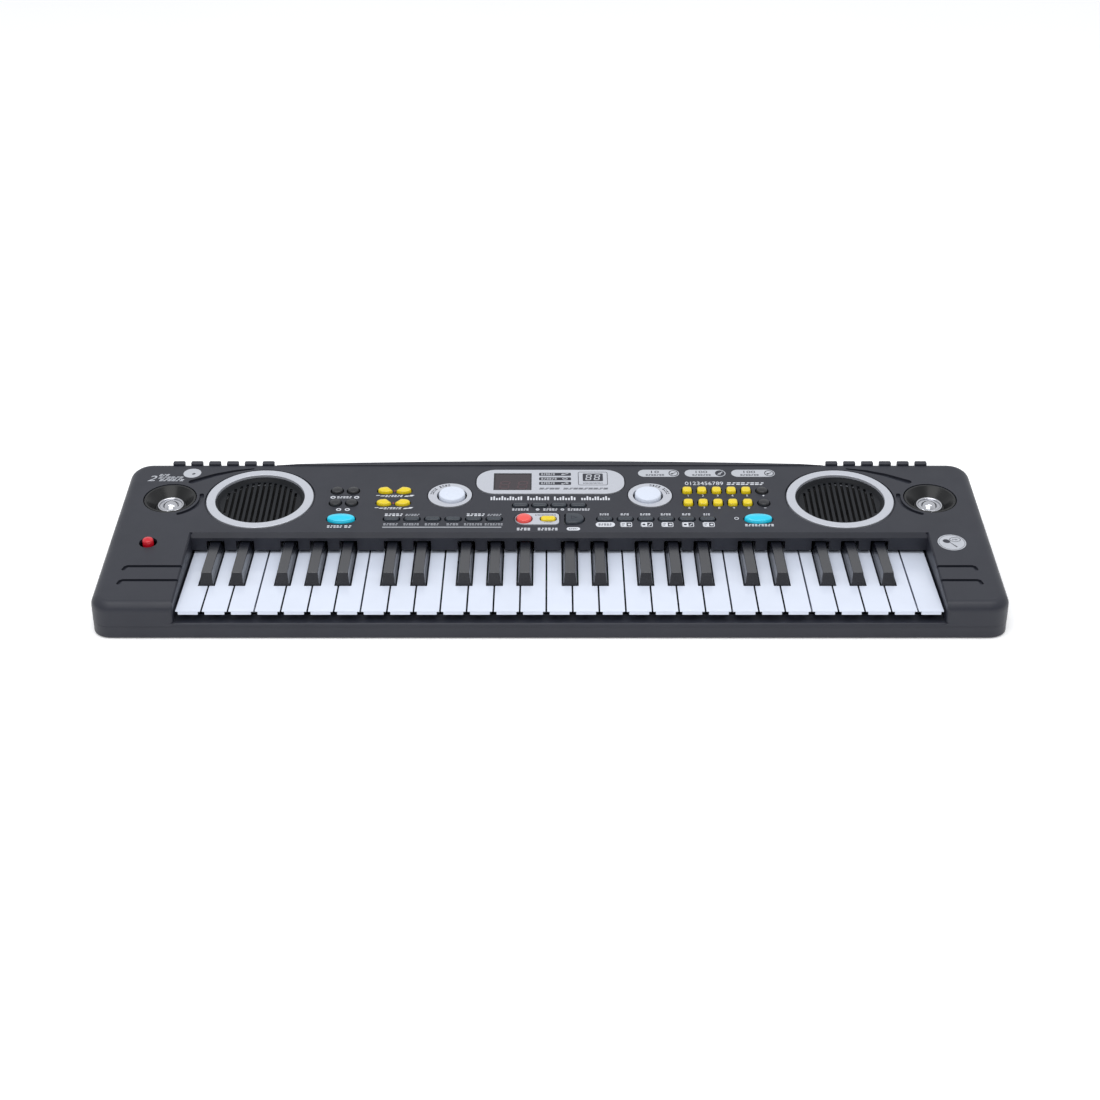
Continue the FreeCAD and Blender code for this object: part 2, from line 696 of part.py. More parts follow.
def bottom_case():
    """Lower tray with posts, battery bay walls and recessed screw heads."""
    outer = case_plan(LOWER_INSET, FOOT_HEIGHT, PARTING_Z - SEAM)
    outer = round_edges(outer, BOTTOM_ROUND, lambda point: abs(point.z - FOOT_HEIGHT) < 1e-6)
    inner = case_plan(WALL + 0.2, FLOOR_Z, PARTING_Z)
    tray = outer.cut(inner)
    lip = case_plan(WALL + 0.4, FLOOR_Z - 1, PARTING_Z + 1.0).cut(case_plan(WALL + 1.9, 0, TALL))
    rail_gap = box(WELL_LEFT - WELL_WALL - 0.3, WELL_RIGHT + WELL_WALL + 0.3, 0, RAIL_DEPTH, PARTING_Z - 0.3, TALL)
    adds = [lip.cut(rail_gap)]
    post_root = FOOT_HEIGHT + 1
    for x, y in CASE_POSTS:
        adds.append(rod(x, y, post_root, POST_R + POST_COLLAR, POST_FOOT_Z - 0.1 - post_root))
    for x, y in RAIL_POSTS:
        adds.append(rod(x, y, post_root, POST_R + POST_COLLAR, RAIL_POST_FOOT_Z - 0.1 - post_root))
    x0, x1, y0, y1 = BAY
    adds.append(box(x0 - BAY_WALL, x1 + BAY_WALL, y0 - BAY_WALL, y1 + BAY_WALL, FOOT_HEIGHT + 0.5, BAY_TOP))
    for x, y in CONTACT_POSTS:
        adds.append(rod(x, y, post_root, 2.8, CONTACT_BOARD_Z - post_root))
    cuts = [box(x0, x1, y0, y1, 0, BAY_TOP - 1.6)]
    slide_front = y0 - 2.0 - DOOR_TRAVEL - 1.0
    cuts.append(box(x0 - 1.3, x1 + 1.3, slide_front, y1 + 1.1, 0, FOOT_HEIGHT + DOOR_THICK + DOOR_GAP))
    for x, y in CASE_POSTS + RAIL_POSTS:
        cuts.append(rod(x, y, 0, SCREW_HEAD_R + 0.4, FOOT_HEIGHT + 2.4))
        cuts.append(rod(x, y, 0, SCREW_R + 0.2, 14))
    for x, y in CONTACT_POSTS:
        cuts.append(rod(x, y, CONTACT_BOARD_Z - 1.6, SCREW_R + SCREW_CLEARANCE, 3.0))
    for x, y in FEET:
        cuts.append(rod(x, y, 0, FOOT_R + 0.1, FOOT_HEIGHT + 0.6))
    return tray.fuse(adds).removeSplitter().cut(cuts)


# ---------------------------------------------------------------- keys


def tail_and_plunger(x, crown_z):
    """Rear end of a key, and the plunger that reaches down from its crown to its dome."""
    half = TAIL_WIDTH / 2
    tail = box(x - half, x + half, PLATE_REAR - 3, TAIL_REAR, TAIL_BOTTOM, TAIL_TOP)
    plunger = box(x - 2, x + 2, PLUNGER_Y - PLUNGER_HALF, PLUNGER_Y + PLUNGER_HALF, PLUNGER_Z, crown_z)
    return [tail, plunger]


def pivot_bore(x):
    """Cutter for the pivot rod through one key."""
    return rod(x - TAIL_WIDTH, PIVOT_Y, PIVOT_Z, PIVOT_R + PIVOT_CLEARANCE, TAIL_WIDTH * 2, X_AXIS)


def white_key(index):
    """One white key: thin top plate with its notches, narrower skirt, ribs and tail."""
    x0 = KEYS_LEFT + index * KEY_PITCH + KEY_GAP / 2
    x1 = x0 + KEY_PITCH - KEY_GAP
    plate = slab(x0, x1, WHITE_FRONT, PLATE_REAR + 2, WHITE_TOP - WHITE_PLATE, WHITE_TOP, WHITE_CORNER)
    plate = plate.common(box(x0, x1, 0, PLATE_REAR, 0, TALL))
    narrow0, narrow1 = x0, x1
    notches = []
    reach = BLACK_BASE / 2 + BLACK_CLEARANCE
    for _note, x in black_centres():
        if x - reach < x1 and x + reach > x0:
            notches.append(box(x - reach, x + reach, BLACK_FRONT - BLACK_CLEARANCE, PLATE_REAR + 1, 0, TALL))
            if x > (x0 + x1) / 2:
                narrow1 = x - reach
            else:
                narrow0 = x + reach
    if notches:
        plate = plate.cut(notches)
    plate = round_edges(plate, 0.35, lambda point: point.z > WHITE_TOP - 0.01 and point.y < BLACK_FRONT - 5)
    centre = (narrow0 + narrow1) / 2
    skirt_x0 = x0 + WHITE_SKIRT_INSET
    skirt_x1 = x1 - WHITE_SKIRT_INSET
    pieces = [plate]
    pieces.append(box(skirt_x0, skirt_x1, WHITE_FRONT + 0.2, WHITE_FRONT + 1.8, WHITE_SKIRT_Z, WHITE_TOP - 0.5))
    for rib_x in (narrow0 + 0.6, narrow1 - 0.6 - RIB):
        pieces.append(box(rib_x, rib_x + RIB, RAIL_DEPTH + 2.5, PLATE_REAR, WHITE_RIB_Z, WHITE_TOP - 0.5))
    pieces.append(box(narrow0 + 0.6, narrow1 - 0.6, PLATE_REAR - 2, PLATE_REAR, WHITE_RIB_Z, WHITE_TOP - 0.5))
    pieces += tail_and_plunger(centre, WHITE_TOP - 0.5)
    return fuse(pieces).cut(pivot_bore(centre))


def rectangle(x0, x1, y0, y1, z):
    """Closed rectangular wire at a height."""
    points = [V(x0, y0, z), V(x1, y0, z), V(x1, y1, z), V(x0, y1, z)]
    return Part.makePolygon(points + points[:1])


def black_key(x):
    """One black key: bevelled crown on a straight base, hollow underneath, with a tail."""
    base = BLACK_BASE / 2
    waist = BLACK_WAIST / 2
    crest = BLACK_CREST / 2
    crown = Part.makeLoft(
        [
            rectangle(x - base, x + base, BLACK_FRONT, PLATE_REAR, WHITE_TOP),
            rectangle(x - waist, x + waist, BLACK_FRONT + BLACK_WAIST_SLANT, PLATE_REAR, BLACK_WAIST_Z),
            rectangle(x - crest, x + crest, BLACK_FRONT + BLACK_SLANT, PLATE_REAR, BLACK_TOP),
        ],
        True,
        True,
    )
    edges = [
        edge
        for edge in crown.Edges
        if any(vertex.Point.z > BLACK_TOP - 0.01 for vertex in edge.Vertexes)
        and not all(vertex.Point.y > PLATE_REAR - 0.01 for vertex in edge.Vertexes)
    ]
    crown = crown.makeFillet(0.5, edges)
    body = fuse([crown, box(x - base, x + base, BLACK_FRONT, PLATE_REAR, 13.5, WHITE_TOP)])
    hollow = box(x - 2.4, x + 2.4, BLACK_FRONT + 3.6, PLATE_REAR - 6, 0, BLACK_TOP - 2)
    return fuse([body.cut(hollow)] + tail_and_plunger(x, BLACK_TOP - 1)).cut(pivot_bore(x))


def key_nodes():
    """Keys of one note share a node, one solid to an octave; the top C has its own."""
    nodes = {}
    for index in range(WHITE_COUNT):
        note = "key_" + "cdefgab"[index % 7]
        if index == WHITE_COUNT - 1:
            note = "key_high_c"
        nodes.setdefault(note, []).append(white_key(index))
    for note, x in black_centres():
        nodes.setdefault("key_" + note, []).append(black_key(x))
    return nodes


def frame_rib_places():
    """Centre X of every rib that carries the pivot rod."""
    places = [KEYS_LEFT + 0.35]
    places += [KEYS_LEFT + octave * OCTAVE + 0.35 for octave in range(1, 5)]
    places.append(KEYS_LEFT + WHITE_COUNT * KEY_PITCH - 3.0)
    return places


def key_frame():
    """Chassis under the keys: front bar, rear bar, ties and ribs for the pivot rod."""
    x0, x1 = WELL_LEFT + 0.5, WELL_RIGHT - 0.5
    pieces = [
        box(x0, x1, FRAME_FRONT_BAR[0], FRAME_FRONT_BAR[1], FRAME_FOOT, 7.4),
        box(x0, x1, FRAME_REAR_BAR[0], FRAME_REAR_BAR[1], FRAME_FOOT, 9.5),
    ]
    for x in (x0 + 3, KEYS_LEFT + OCTAVE, KEYS_LEFT + 2 * OCTAVE, KEYS_LEFT + 3 * OCTAVE, x1 - 3):
        pieces.append(box(x - 3, x + 3, FRAME_FRONT_BAR[0] + 1, FRAME_REAR_BAR[0] + 1, FRAME_FOOT, 5.2))
    for x in frame_rib_places():
        pieces.append(box(x - 0.45, x + 0.45, 108.0, 121.0, 9.0, 17.2))
    frame = fuse(pieces)
    cuts = [rod(x0, PIVOT_Y, PIVOT_Z, PIVOT_R + 0.02, x1 - x0, X_AXIS)]
    cuts.append(box(RIBBON[0] - 1, RIBBON[1] + 1, FRAME_REAR_BAR[0] - 1, FRAME_REAR_BAR[1] + 1, 0, 5.4))
    return frame.cut(cuts)


def pivot_rod():
    """Steel rod that every key hinges on."""
    start = KEYS_LEFT - 0.5
    return rod(start, PIVOT_Y, PIVOT_Z, PIVOT_R, WHITE_COUNT * KEY_PITCH - 1.5, X_AXIS)


def felt_strip():
    """Soft stop under the fronts of the keys."""
    y0, y1 = FRAME_FRONT_BAR
    return box(WELL_LEFT + 2, WELL_RIGHT - 2, y0 + 1, y1 - 1, 7.4, 8.8)


def key_centres():
    """Centre X of the tail of every key."""
    centres = [x for _note, x in black_centres()]
    reach = BLACK_BASE / 2 + BLACK_CLEARANCE
    for index in range(WHITE_COUNT):
        x0 = KEYS_LEFT + index * KEY_PITCH + KEY_GAP / 2
        x1 = x0 + KEY_PITCH - KEY_GAP
        left = [x + reach for _note, x in black_centres() if x0 < x + reach < (x0 + x1) / 2]
        right = [x - reach for _note, x in black_centres() if (x0 + x1) / 2 < x - reach < x1]
        centres.append(((left or [x0])[0] + (right or [x1])[0]) / 2)
    return sorted(centres)


def contact_board():
    """Circuit board under the keys."""
    x0, x1, y0, y1 = CONTACT_BOARD
    board = box(x0, x1, y0, y1, CONTACT_BOARD_Z, CONTACT_BOARD_Z + BOARD_THICK)
    return board.cut([rod(x, y, 0, SCREW_R + SCREW_CLEARANCE, 20) for x, y in CONTACT_POSTS])


def contact_rubber():
    """Rubber strip with one dome under each key."""
    foot = CONTACT_BOARD_Z + BOARD_THICK
    x0, x1 = CONTACT_BOARD[:2]
    strip = box(x0 + 1, x1 - 1, PLUNGER_Y - 6, PLUNGER_Y + 6, foot, foot + 0.8)
    domes = [cone(x, PLUNGER_Y, foot + 0.7, 3.4, 1.8, PLUNGER_Z - foot - 0.8) for x in key_centres()]
    return fuse([strip] + domes)


# ---------------------------------------------------------------- panel pieces


def button(name, spec):
    """Cap, flange and stem of one button."""
    proud = BUTTON_PROUD[name]
    cap = outline_solid(spec, 0, FLANGE_TOP - 0.2, proud)
    cap = cap.makeFillet(0.6, [edge for edge in cap.Edges if edge.BoundBox.ZMin > proud - 0.01])
    flange = outline_solid(spec, button_gap(name) + FLANGE_REACH, FLANGE_BOTTOM, FLANGE_TOP)
    stem = rod(spec[1], spec[2], STEM_BOTTOM, STEM_R, FLANGE_TOP - STEM_BOTTOM)
    return on_panel(fuse([cap, flange, stem]))


def button_nodes():
    """Buttons of one kind share a node, one solid to a button."""
    return {name: [button(name, spec) for spec in specs] for name, specs in BUTTONS.items()}


def speaker_ring(side):
    """Flat silver ring let into the panel round a grille."""
    band = ring(side * WOOFER_X, SPEAKER_V, RING_OUTER, RING_INNER, -RECESS_DEPTH, RING_PROUD)
    band = band.makeFillet(0.5, [edge for edge in band.Edges if edge.BoundBox.ZMin > RING_PROUD - 0.01])
    return on_panel(band)


def speaker_grille(side):
    """Sloped dish with slots through its bottom."""
    x = side * WOOFER_X
    body = rod(x, SPEAKER_V, -DISH_DEPTH - 1.2, RING_INNER - 0.1, DISH_DEPTH + 1.2 - RECESS_DEPTH)
    cuts = [cone(x, SPEAKER_V, -DISH_DEPTH, GRILLE_R, RING_INNER - 0.2, DISH_DEPTH)]
    for index in range(SLOT_COUNT):
        offset = (index - (SLOT_COUNT - 1) / 2) * SLOT_PITCH
        reach = math.sqrt((GRILLE_R - 1.4) ** 2 - offset ** 2)
        slot_x0 = x + offset - SLOT_WIDTH / 2
        cuts.append(box(slot_x0, slot_x0 + SLOT_WIDTH, SPEAKER_V - reach, SPEAKER_V + reach, -9, 0))
    return on_panel(body.cut(cuts))


def woofer_frame(side):
    """Pressed basket with its mounting flange."""
    x = side * WOOFER_X
    flange = ring(x, SPEAKER_V, 38.0, 28.5, WOOFER_FRAME_TOP - 1.2, WOOFER_FRAME_TOP)
    outer = cone(x, SPEAKER_V, -14.0, 16.0, 30.0, 8.0)
    inner = cone(x, SPEAKER_V, -12.8, 14.5, 28.5, 7.0)
    basket = fuse([flange, outer]).cut([inner, rod(x, SPEAKER_V, WOOFER_FRAME_TOP - 1.2, 28.5, 3)])
    holes = [screw_shaft(x, SPEAKER_V, angle, 1.5) for angle in (45, 135, 225, 315)]
    return on_panel(basket.cut(holes))


def screw_shaft(x, v, angle, radius):
    """Cylinder on a woofer's screw circle."""
    a = math.radians(angle)
    return rod(
        x + WOOFER_SCREW_CIRCLE * math.cos(a), v + WOOFER_SCREW_CIRCLE * math.sin(a), -6.4, radius, 4.0
    )


def woofer_cone(side):
    """Paper cone with its dust cap."""
    x = side * WOOFER_X
    outer = cone(x, SPEAKER_V, -11.6, 10.0, 27.0, 6.2)
    inner = cone(x, SPEAKER_V, -11.1, 9.6, 27.0, 6.2)
    cap = Part.makeSphere(9.0, V(x, SPEAKER_V, -16.6)).common(box(x - 12, x + 12, 90, 180, -11.6, 0))
    return on_panel(fuse([outer.cut(inner), cap]))


def woofer_magnet(side):
    """Magnet and back plate."""
    x = side * WOOFER_X
    plate = rod(x, SPEAKER_V, -20.0, 14.0, 1.5)
    return on_panel(fuse([rod(x, SPEAKER_V, -19.0, 15.5, 5.0), plate]))


def tweeter_cup(side):
    """Conical cup with a flange behind the panel."""
    x = side * TWEETER_X
    outer = fuse([
        rod(x, TWEETER_V, -TWEETER_DEPTH - 1.2, TWEETER_R, TWEETER_DEPTH + 1.2 - 0.2),
        rod(x, TWEETER_V, -4.2, TWEETER_R + 3.0, 1.6),
    ])
    rim = [edge for edge in outer.Edges if edge.BoundBox.ZMin > -0.3]
    outer = outer.makeFillet(0.5, rim)
    return on_panel(outer.cut(cone(x, TWEETER_V, -TWEETER_DEPTH, TWEETER_THROAT, TWEETER_MOUTH, TWEETER_DEPTH)))


def tweeter_dome(side):
    """Chrome ring and dome at the bottom of a cup."""
    x = side * TWEETER_X
    foot = -TWEETER_DEPTH
    disc = rod(x, TWEETER_V, foot, TWEETER_RING, 0.8)
    roll = Part.makeTorus(TWEETER_RING - 1.0, 1.0, V(x, TWEETER_V, foot + 0.9), Z_AXIS)
    roll = roll.common(box(x - 12, x + 12, TWEETER_V - 12, TWEETER_V + 12, foot, 0))
    dome = Part.makeSphere(7.2, V(x, TWEETER_V, foot - 3.4))
    dome = dome.common(box(x - 12, x + 12, TWEETER_V - 12, TWEETER_V + 12, foot, 0))
    return on_panel(fuse([disc, roll, dome]))


def tweeter_driver(side):
    """Small driver behind a cup."""
    x = side * TWEETER_X
    body = rod(x, TWEETER_V, -TWEETER_DEPTH - 6.2, 11.5, 4.9)
    return on_panel(fuse([body, rod(x, TWEETER_V, -TWEETER_DEPTH - 8.2, 8.0, 3.0)]))


def display_plate():
    """Silver plate with the window opening."""
    x0, x1, v0, v1 = DISPLAY_WINDOW
    plate = plate_blank(DISPLAY_PLATE, -PLATE_SUNK, PLATE_PROUD, 0)
    return on_panel(plate.cut(box(x0, x1, v0, v1, -5, 5)))


def display_window():
    """Dark clear window in the plate."""
    x0, x1, v0, v1 = DISPLAY_WINDOW
    return on_panel(box(x0 + 0.1, x1 - 0.1, v0 + 0.1, v1 - 0.1, -PLATE_SUNK, 0.1))


def display_module():
    """Two-digit light module under the window."""
    x0, x1, v0, v1 = DISPLAY_WINDOW
    return on_panel(box(x0 + 0.5, x1 - 0.5, v0 + 0.5, v1 - 0.5, BOARD_TOP, -PLATE_SUNK - 1.0))


def record_plate():
    """Silver plate round the programme and record buttons."""
    plate = plate_blank(RECORD_PLATE, -PLATE_SUNK, PLATE_PROUD, 0)
    holes = [outline_solid(BUTTONS[name][0], BUTTON_GAP, -5, 5) for name in ("program_button", "record_button")]
    return on_panel(plate.cut(holes))


def demo_disc(side):
    """Silver disc round a large white button."""
    name = "demo_all_button" if side > 0 else "demo_one_button"
    disc = rod(side * DEMO_X, DEMO_V, -PLATE_SUNK, DEMO_DISC_R, PLATE_SUNK + PLATE_PROUD)
    return on_panel(disc.cut(outline_solid(BUTTONS[name][0], button_gap(name), -5, 5)))


def main_board():
    """Circuit board behind the panel, notched round the display."""
    x0, x1, v0, v1 = MAIN_BOARD
    board = box(x0, x1, v0, v1, BOARD_TOP - BOARD_THICK, BOARD_TOP)
    holes = [rod(x, v, -12, SCREW_R + 0.1, 6) for x, v in BOARD_POSTS]
    chips = [box(x, x + w, v, v + w, -12.0, BOARD_TOP - 1) for x, v, w in ((-20, 112, 16), (40, 116, 10), (90, 118, 8))]
    return on_panel(fuse([board] + chips).cut(holes))


def button_mat():
    """Rubber sheet with a dome under every button of the main board."""
    sheet = box(-161.0, 161.0, 99.0, 151.5, BOARD_TOP, MAT_TOP)
    sheet = sheet.cut(box(-57.0, 57.0, 136.0, 160.0, -12, 0))
    domes = []
    for name, specs in BUTTONS.items():
        if name != "power_button":
            for spec in specs:
                domes.append(cone(spec[1], spec[2], BOARD_TOP + 0.2, 3.2, 1.9, STEM_BOTTOM - BOARD_TOP - 0.3))
    return on_panel(fuse([sheet] + domes))


def power_switch():
    """Latching switch body under the power button, on its own bracket."""
    _kind, x, v, _width, _depth = BUTTONS["power_button"][0]
    bottom = STEM_BOTTOM - BUTTON_TRAVEL - 0.2
    return on_panel(box(x - 4.5, x + 4.5, v - 4.5, v + 4.5, bottom - 8.0, bottom))


# ---------------------------------------------------------------- sockets, battery bay, fasteners


def socket(x, hole_radius, depth):
    """Socket with a plate that fills its notch in the rear wall and a blind hole from outside."""
    half = SOCKET_BODY / 2
    wall_y = BODY_DEPTH - WALL
    plate = box(
        x - SOCKET_PLATE / 2, x + SOCKET_PLATE / 2, wall_y, BODY_DEPTH, PARTING_Z + 0.1, SOCKET_PLATE_TOP
    )
    body = box(x - half, x + half, BODY_DEPTH - SOCKET_LENGTH, wall_y + 0.1, SOCKET_Z - half, SOCKET_Z + half)
    hole = rod(x, BODY_DEPTH - depth, SOCKET_Z, hole_radius, depth + 1, Y_AXIS)
    return fuse([plate, body]).cut(hole)


def power_jack():
    """Barrel socket with its centre pin."""
    pin = rod(DC_X, BODY_DEPTH - DC_DEPTH - 2, SOCKET_Z, 1.0, DC_DEPTH, Y_AXIS)
    return fuse([socket(DC_X, DC_BORE_R, DC_DEPTH), pin])


def cell_places():
    """Centre X of every battery cell."""
    middle = (BAY[0] + BAY[1]) / 2
    return [middle + (index - 1.5) * CELL_PITCH for index in range(4)]


def battery_cell(x):
    """One AA cell with its raised positive end."""
    y0 = BAY[2] + 1.6
    body = rod(x, y0, CELL_Z, CELL_R, CELL_LENGTH - 1.4, Y_AXIS)
    return fuse([body, rod(x, y0, CELL_Z, 2.6, CELL_LENGTH, Y_AXIS)])


def battery_contacts():
    """Contact plates at both ends of every cell."""
    plates = []
    for x in cell_places():
        for y in (BAY[2] + 0.1, BAY[3] - 0.6):
            plates.append(box(x - 5, x + 5, y, y + 0.5, CELL_Z - 5, CELL_Z + 5))
    return plates


def battery_door():
    """Flush cover that slides towards the front of the case."""
    x0, x1, y0, y1 = BAY
    door = box(x0 - 1.0, x1 + 1.0, y0 - 2.0, y1 + 0.8, FOOT_HEIGHT, FOOT_HEIGHT + DOOR_THICK)
    grips = [box(x0 + 20, x1 - 20, y0 + 3 * i, y0 + 3 * i + 1.2, 0, FOOT_HEIGHT + 0.5) for i in range(3)]
    return door.cut(grips)


def case_screw(x, y, tip_z):
    """Pan-head screw driven up from below."""
    head_z = FOOT_HEIGHT + 1.0
    head = rod(x, y, head_z, SCREW_HEAD_R, 1.4)
    slot = [box(x - 1.6, x + 1.6, y - 0.35, y + 0.35, 0, head_z + 0.7)]
    slot.append(box(x - 0.35, x + 0.35, y - 1.6, y + 1.6, 0, head_z + 0.7))
    return fuse([head, rod(x, y, head_z + 1, SCREW_R, tip_z - head_z - 1)]).cut(slot)


def case_screws():
    """Screws that hold the two shells together."""
    screws = [case_screw(x, y, CASE_SCREW_TIP_Z) for x, y in CASE_POSTS]
    return screws + [case_screw(x, y, RAIL_SCREW_TIP_Z) for x, y in RAIL_POSTS]


def inner_screws():
    """Small screws of the two boards and of the woofers."""
    screws = []
    for x, v in BOARD_POSTS:
        head = rod(x, v, BOARD_TOP - BOARD_THICK - 1.3, SCREW_HEAD_R, 1.3)
        screws.append(on_panel(fuse([head, rod(x, v, BOARD_TOP - BOARD_THICK - 0.5, SCREW_R, 6.0)])))
    top = CONTACT_BOARD_Z + BOARD_THICK
    for x, y in CONTACT_POSTS:
        screws.append(fuse([rod(x, y, top, SCREW_HEAD_R - 0.4, 1.1), rod(x, y, top - 3.0, SCREW_R, 3.4)]))
    for side in (-1, 1):
        for angle in (45, 135, 225, 315):
            shaft = screw_shaft(side * WOOFER_X, SPEAKER_V, angle, SCREW_R)
            centre = shaft.CenterOfMass
            head = rod(centre.x, centre.y, WOOFER_FRAME_TOP - 2.6, SCREW_HEAD_R - 0.2, 1.4)
            screws.append(on_panel(fuse([shaft, head])))
    return screws


def ribbon_cable():
    """Flat cable from the contact board, under the key frame and up to the main board."""
    x0, x1 = RIBBON
    y_front, y_rear = CONTACT_BOARD[3] - 3, 122.6
    z = FRAME_FOOT + 0.2
    board_z = PANEL_Z0 + y_rear * math.tan(math.radians(PANEL_TILT)) - (BOARD_THICK - BOARD_TOP) * 1.006
    runs = [
        box(x0, x1, y_front, y_rear + 0.5, z, z + 0.5),
        box(x0, x1, y_front, y_front + 0.5, z, CONTACT_BOARD_Z),
        box(x0, x1, y_rear, y_rear + 0.5, z, board_z - 0.1),
    ]
    return fuse(runs)


def speaker_wires():
    """Leads from the main board to the woofers and on to the tweeters."""
    wires = []
    for side in (-1, 1):
        for start, end in ((130.0, 188.4), (235.6, 266.2)):
            for v in (SPEAKER_V - 1.2, SPEAKER_V + 1.2):
                wires.append(on_panel(rod(side * start, v, -12.0, 0.8, end - start, V(side, 0, 0))))
    return wires


def rubber_feet():
    """Feet pressed into pockets in the bottom case."""
    return [rod(x, y, 0, FOOT_R, FOOT_HEIGHT + 0.6) for x, y in FEET]


def both_sides(maker):
    """The left and the right copy of a piece."""
    return [maker(side) for side in (-1, 1)]


def all_nodes():
    """Every node with its list of solids."""
    nodes = {"top_case": [top_case()], "bottom_case": [bottom_case()]}
    nodes.update(key_nodes())
    nodes.update(button_nodes())
    nodes.update({
        "key_frame": [key_frame()],
        "key_pivot_rod": [pivot_rod()],
        "key_felt_strip": [felt_strip()],
        "key_contact_board": [contact_board()],
        "key_contact_rubber": [contact_rubber()],
        "speaker_rings": both_sides(speaker_ring),
        "speaker_grilles": both_sides(speaker_grille),
        "woofer_frames": both_sides(woofer_frame),
        "woofer_cones": both_sides(woofer_cone),
        "woofer_magnets": both_sides(woofer_magnet),
        "tweeter_cups": both_sides(tweeter_cup),
        "tweeter_domes": both_sides(tweeter_dome),
        "tweeter_drivers": both_sides(tweeter_driver),
        "display_plate": [display_plate()],
        "display_window": [display_window()],
        "display_module": [display_module()],
        "record_plate": [record_plate()],
        "demo_discs": both_sides(demo_disc),
        "main_board": [main_board()],
        "button_mat": [button_mat()],
        "power_switch": [power_switch()],
        "power_jack": [power_jack()],
        "microphone_jack": [socket(MIC_X, MIC_BORE_R, MIC_DEPTH)],
        "battery_cells": [battery_cell(x) for x in cell_places()],
        "battery_contacts": battery_contacts(),
        "battery_door": [battery_door()],
        "case_screws": case_screws(),
        "inner_screws": inner_screws(),
        "wiring": [ribbon_cable()] + speaker_wires(),
        "rubber_feet": rubber_feet(),
    })
    return nodes


def main():
    """Build every node and write it."""
    os.makedirs("parts", exist_ok=True)
    nodes = all_nodes()
    for name, solids in nodes.items():
        shape = solids[0] if len(solids) == 1 else Part.makeCompound(solids)
        placed = shape.copy()
        placed.translate(V(0, -BODY_DEPTH / 2, 0))
        placed.exportStep(os.path.join("parts", name + ".step"))
        print(name, len(placed.Solids), round(placed.Volume), placed.isValid())
    print(len(nodes), "nodes")


main()
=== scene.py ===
import json
import math

import bmesh
import bpy
from mathutils import Matrix, Vector
from mathutils.geometry import convex_hull_2d

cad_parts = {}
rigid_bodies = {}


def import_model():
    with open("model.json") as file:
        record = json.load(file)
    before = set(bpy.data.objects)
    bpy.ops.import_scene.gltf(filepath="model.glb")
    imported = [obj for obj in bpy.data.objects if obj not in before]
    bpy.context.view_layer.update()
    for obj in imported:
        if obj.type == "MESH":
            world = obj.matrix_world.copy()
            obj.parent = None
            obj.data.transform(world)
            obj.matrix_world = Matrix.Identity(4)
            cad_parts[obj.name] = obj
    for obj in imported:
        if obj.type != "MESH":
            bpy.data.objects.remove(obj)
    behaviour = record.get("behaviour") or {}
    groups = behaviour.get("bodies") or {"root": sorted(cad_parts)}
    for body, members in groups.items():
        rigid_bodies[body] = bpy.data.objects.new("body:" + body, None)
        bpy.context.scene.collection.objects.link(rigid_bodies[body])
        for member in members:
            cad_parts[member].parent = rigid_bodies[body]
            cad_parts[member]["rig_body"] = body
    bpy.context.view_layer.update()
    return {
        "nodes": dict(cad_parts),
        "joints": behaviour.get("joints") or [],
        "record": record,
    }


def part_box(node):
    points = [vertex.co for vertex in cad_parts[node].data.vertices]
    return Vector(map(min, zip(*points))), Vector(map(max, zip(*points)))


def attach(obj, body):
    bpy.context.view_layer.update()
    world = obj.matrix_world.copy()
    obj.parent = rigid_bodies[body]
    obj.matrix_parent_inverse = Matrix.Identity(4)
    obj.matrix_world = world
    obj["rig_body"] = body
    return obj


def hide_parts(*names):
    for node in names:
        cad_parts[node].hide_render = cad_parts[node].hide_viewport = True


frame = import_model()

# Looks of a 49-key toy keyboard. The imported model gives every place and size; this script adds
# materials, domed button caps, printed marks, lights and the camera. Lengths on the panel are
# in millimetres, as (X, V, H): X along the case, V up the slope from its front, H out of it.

MM = 0.001
NODES = frame["nodes"]

RING_PROUD = 0.5  # the speaker rings stand this far out of the panel
INK = 0.05  # thickness of a printed mark above its surface
SUNK = 0.04  # and below it, so that no gap shows
ON_SURFACE = 0.02  # what lies higher than this stands out of the panel


# ---------------------------------------------------------------- places


def panel_matrix():
    """Panel frame, from a button's line of travel and the flat top of the speaker rings."""
    press = next(joint for joint in frame["joints"] if joint["child"] == "record_button")
    normal = -Vector(press["axis"]).normalized()
    slope = Vector((0, normal.z, -normal.y))
    rings = NODES["speaker_rings"].data.vertices
    height = max(vertex.co.dot(normal) for vertex in rings) - RING_PROUD * MM
    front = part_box("top_case")[0].y
    origin = Vector((0, front, (height - normal.y * front) / normal.z))
    axes = Matrix((Vector((1, 0, 0)), slope, normal)).transposed().to_4x4()
    return Matrix.Translation(origin) @ axes @ Matrix.Scale(MM, 4)


PANEL = panel_matrix()
TO_PANEL = PANEL.inverted()


def solids(name):
    """Vertices of each separate solid of a node, as panel points."""
    work = bmesh.new()
    work.from_mesh(NODES[name].data)
    bmesh.ops.remove_doubles(work, verts=work.verts, dist=1e-6)
    left = set(work.verts)
    found = []
    while left:
        todo = [left.pop()]
        group = []
        while todo:
            vertex = todo.pop()
            group.append(TO_PANEL @ vertex.co)
            for edge in vertex.link_edges:
                other = edge.other_vert(vertex)
                if other in left:
                    left.remove(other)
                    todo.append(other)
        found.append(group)
    work.free()
    return found


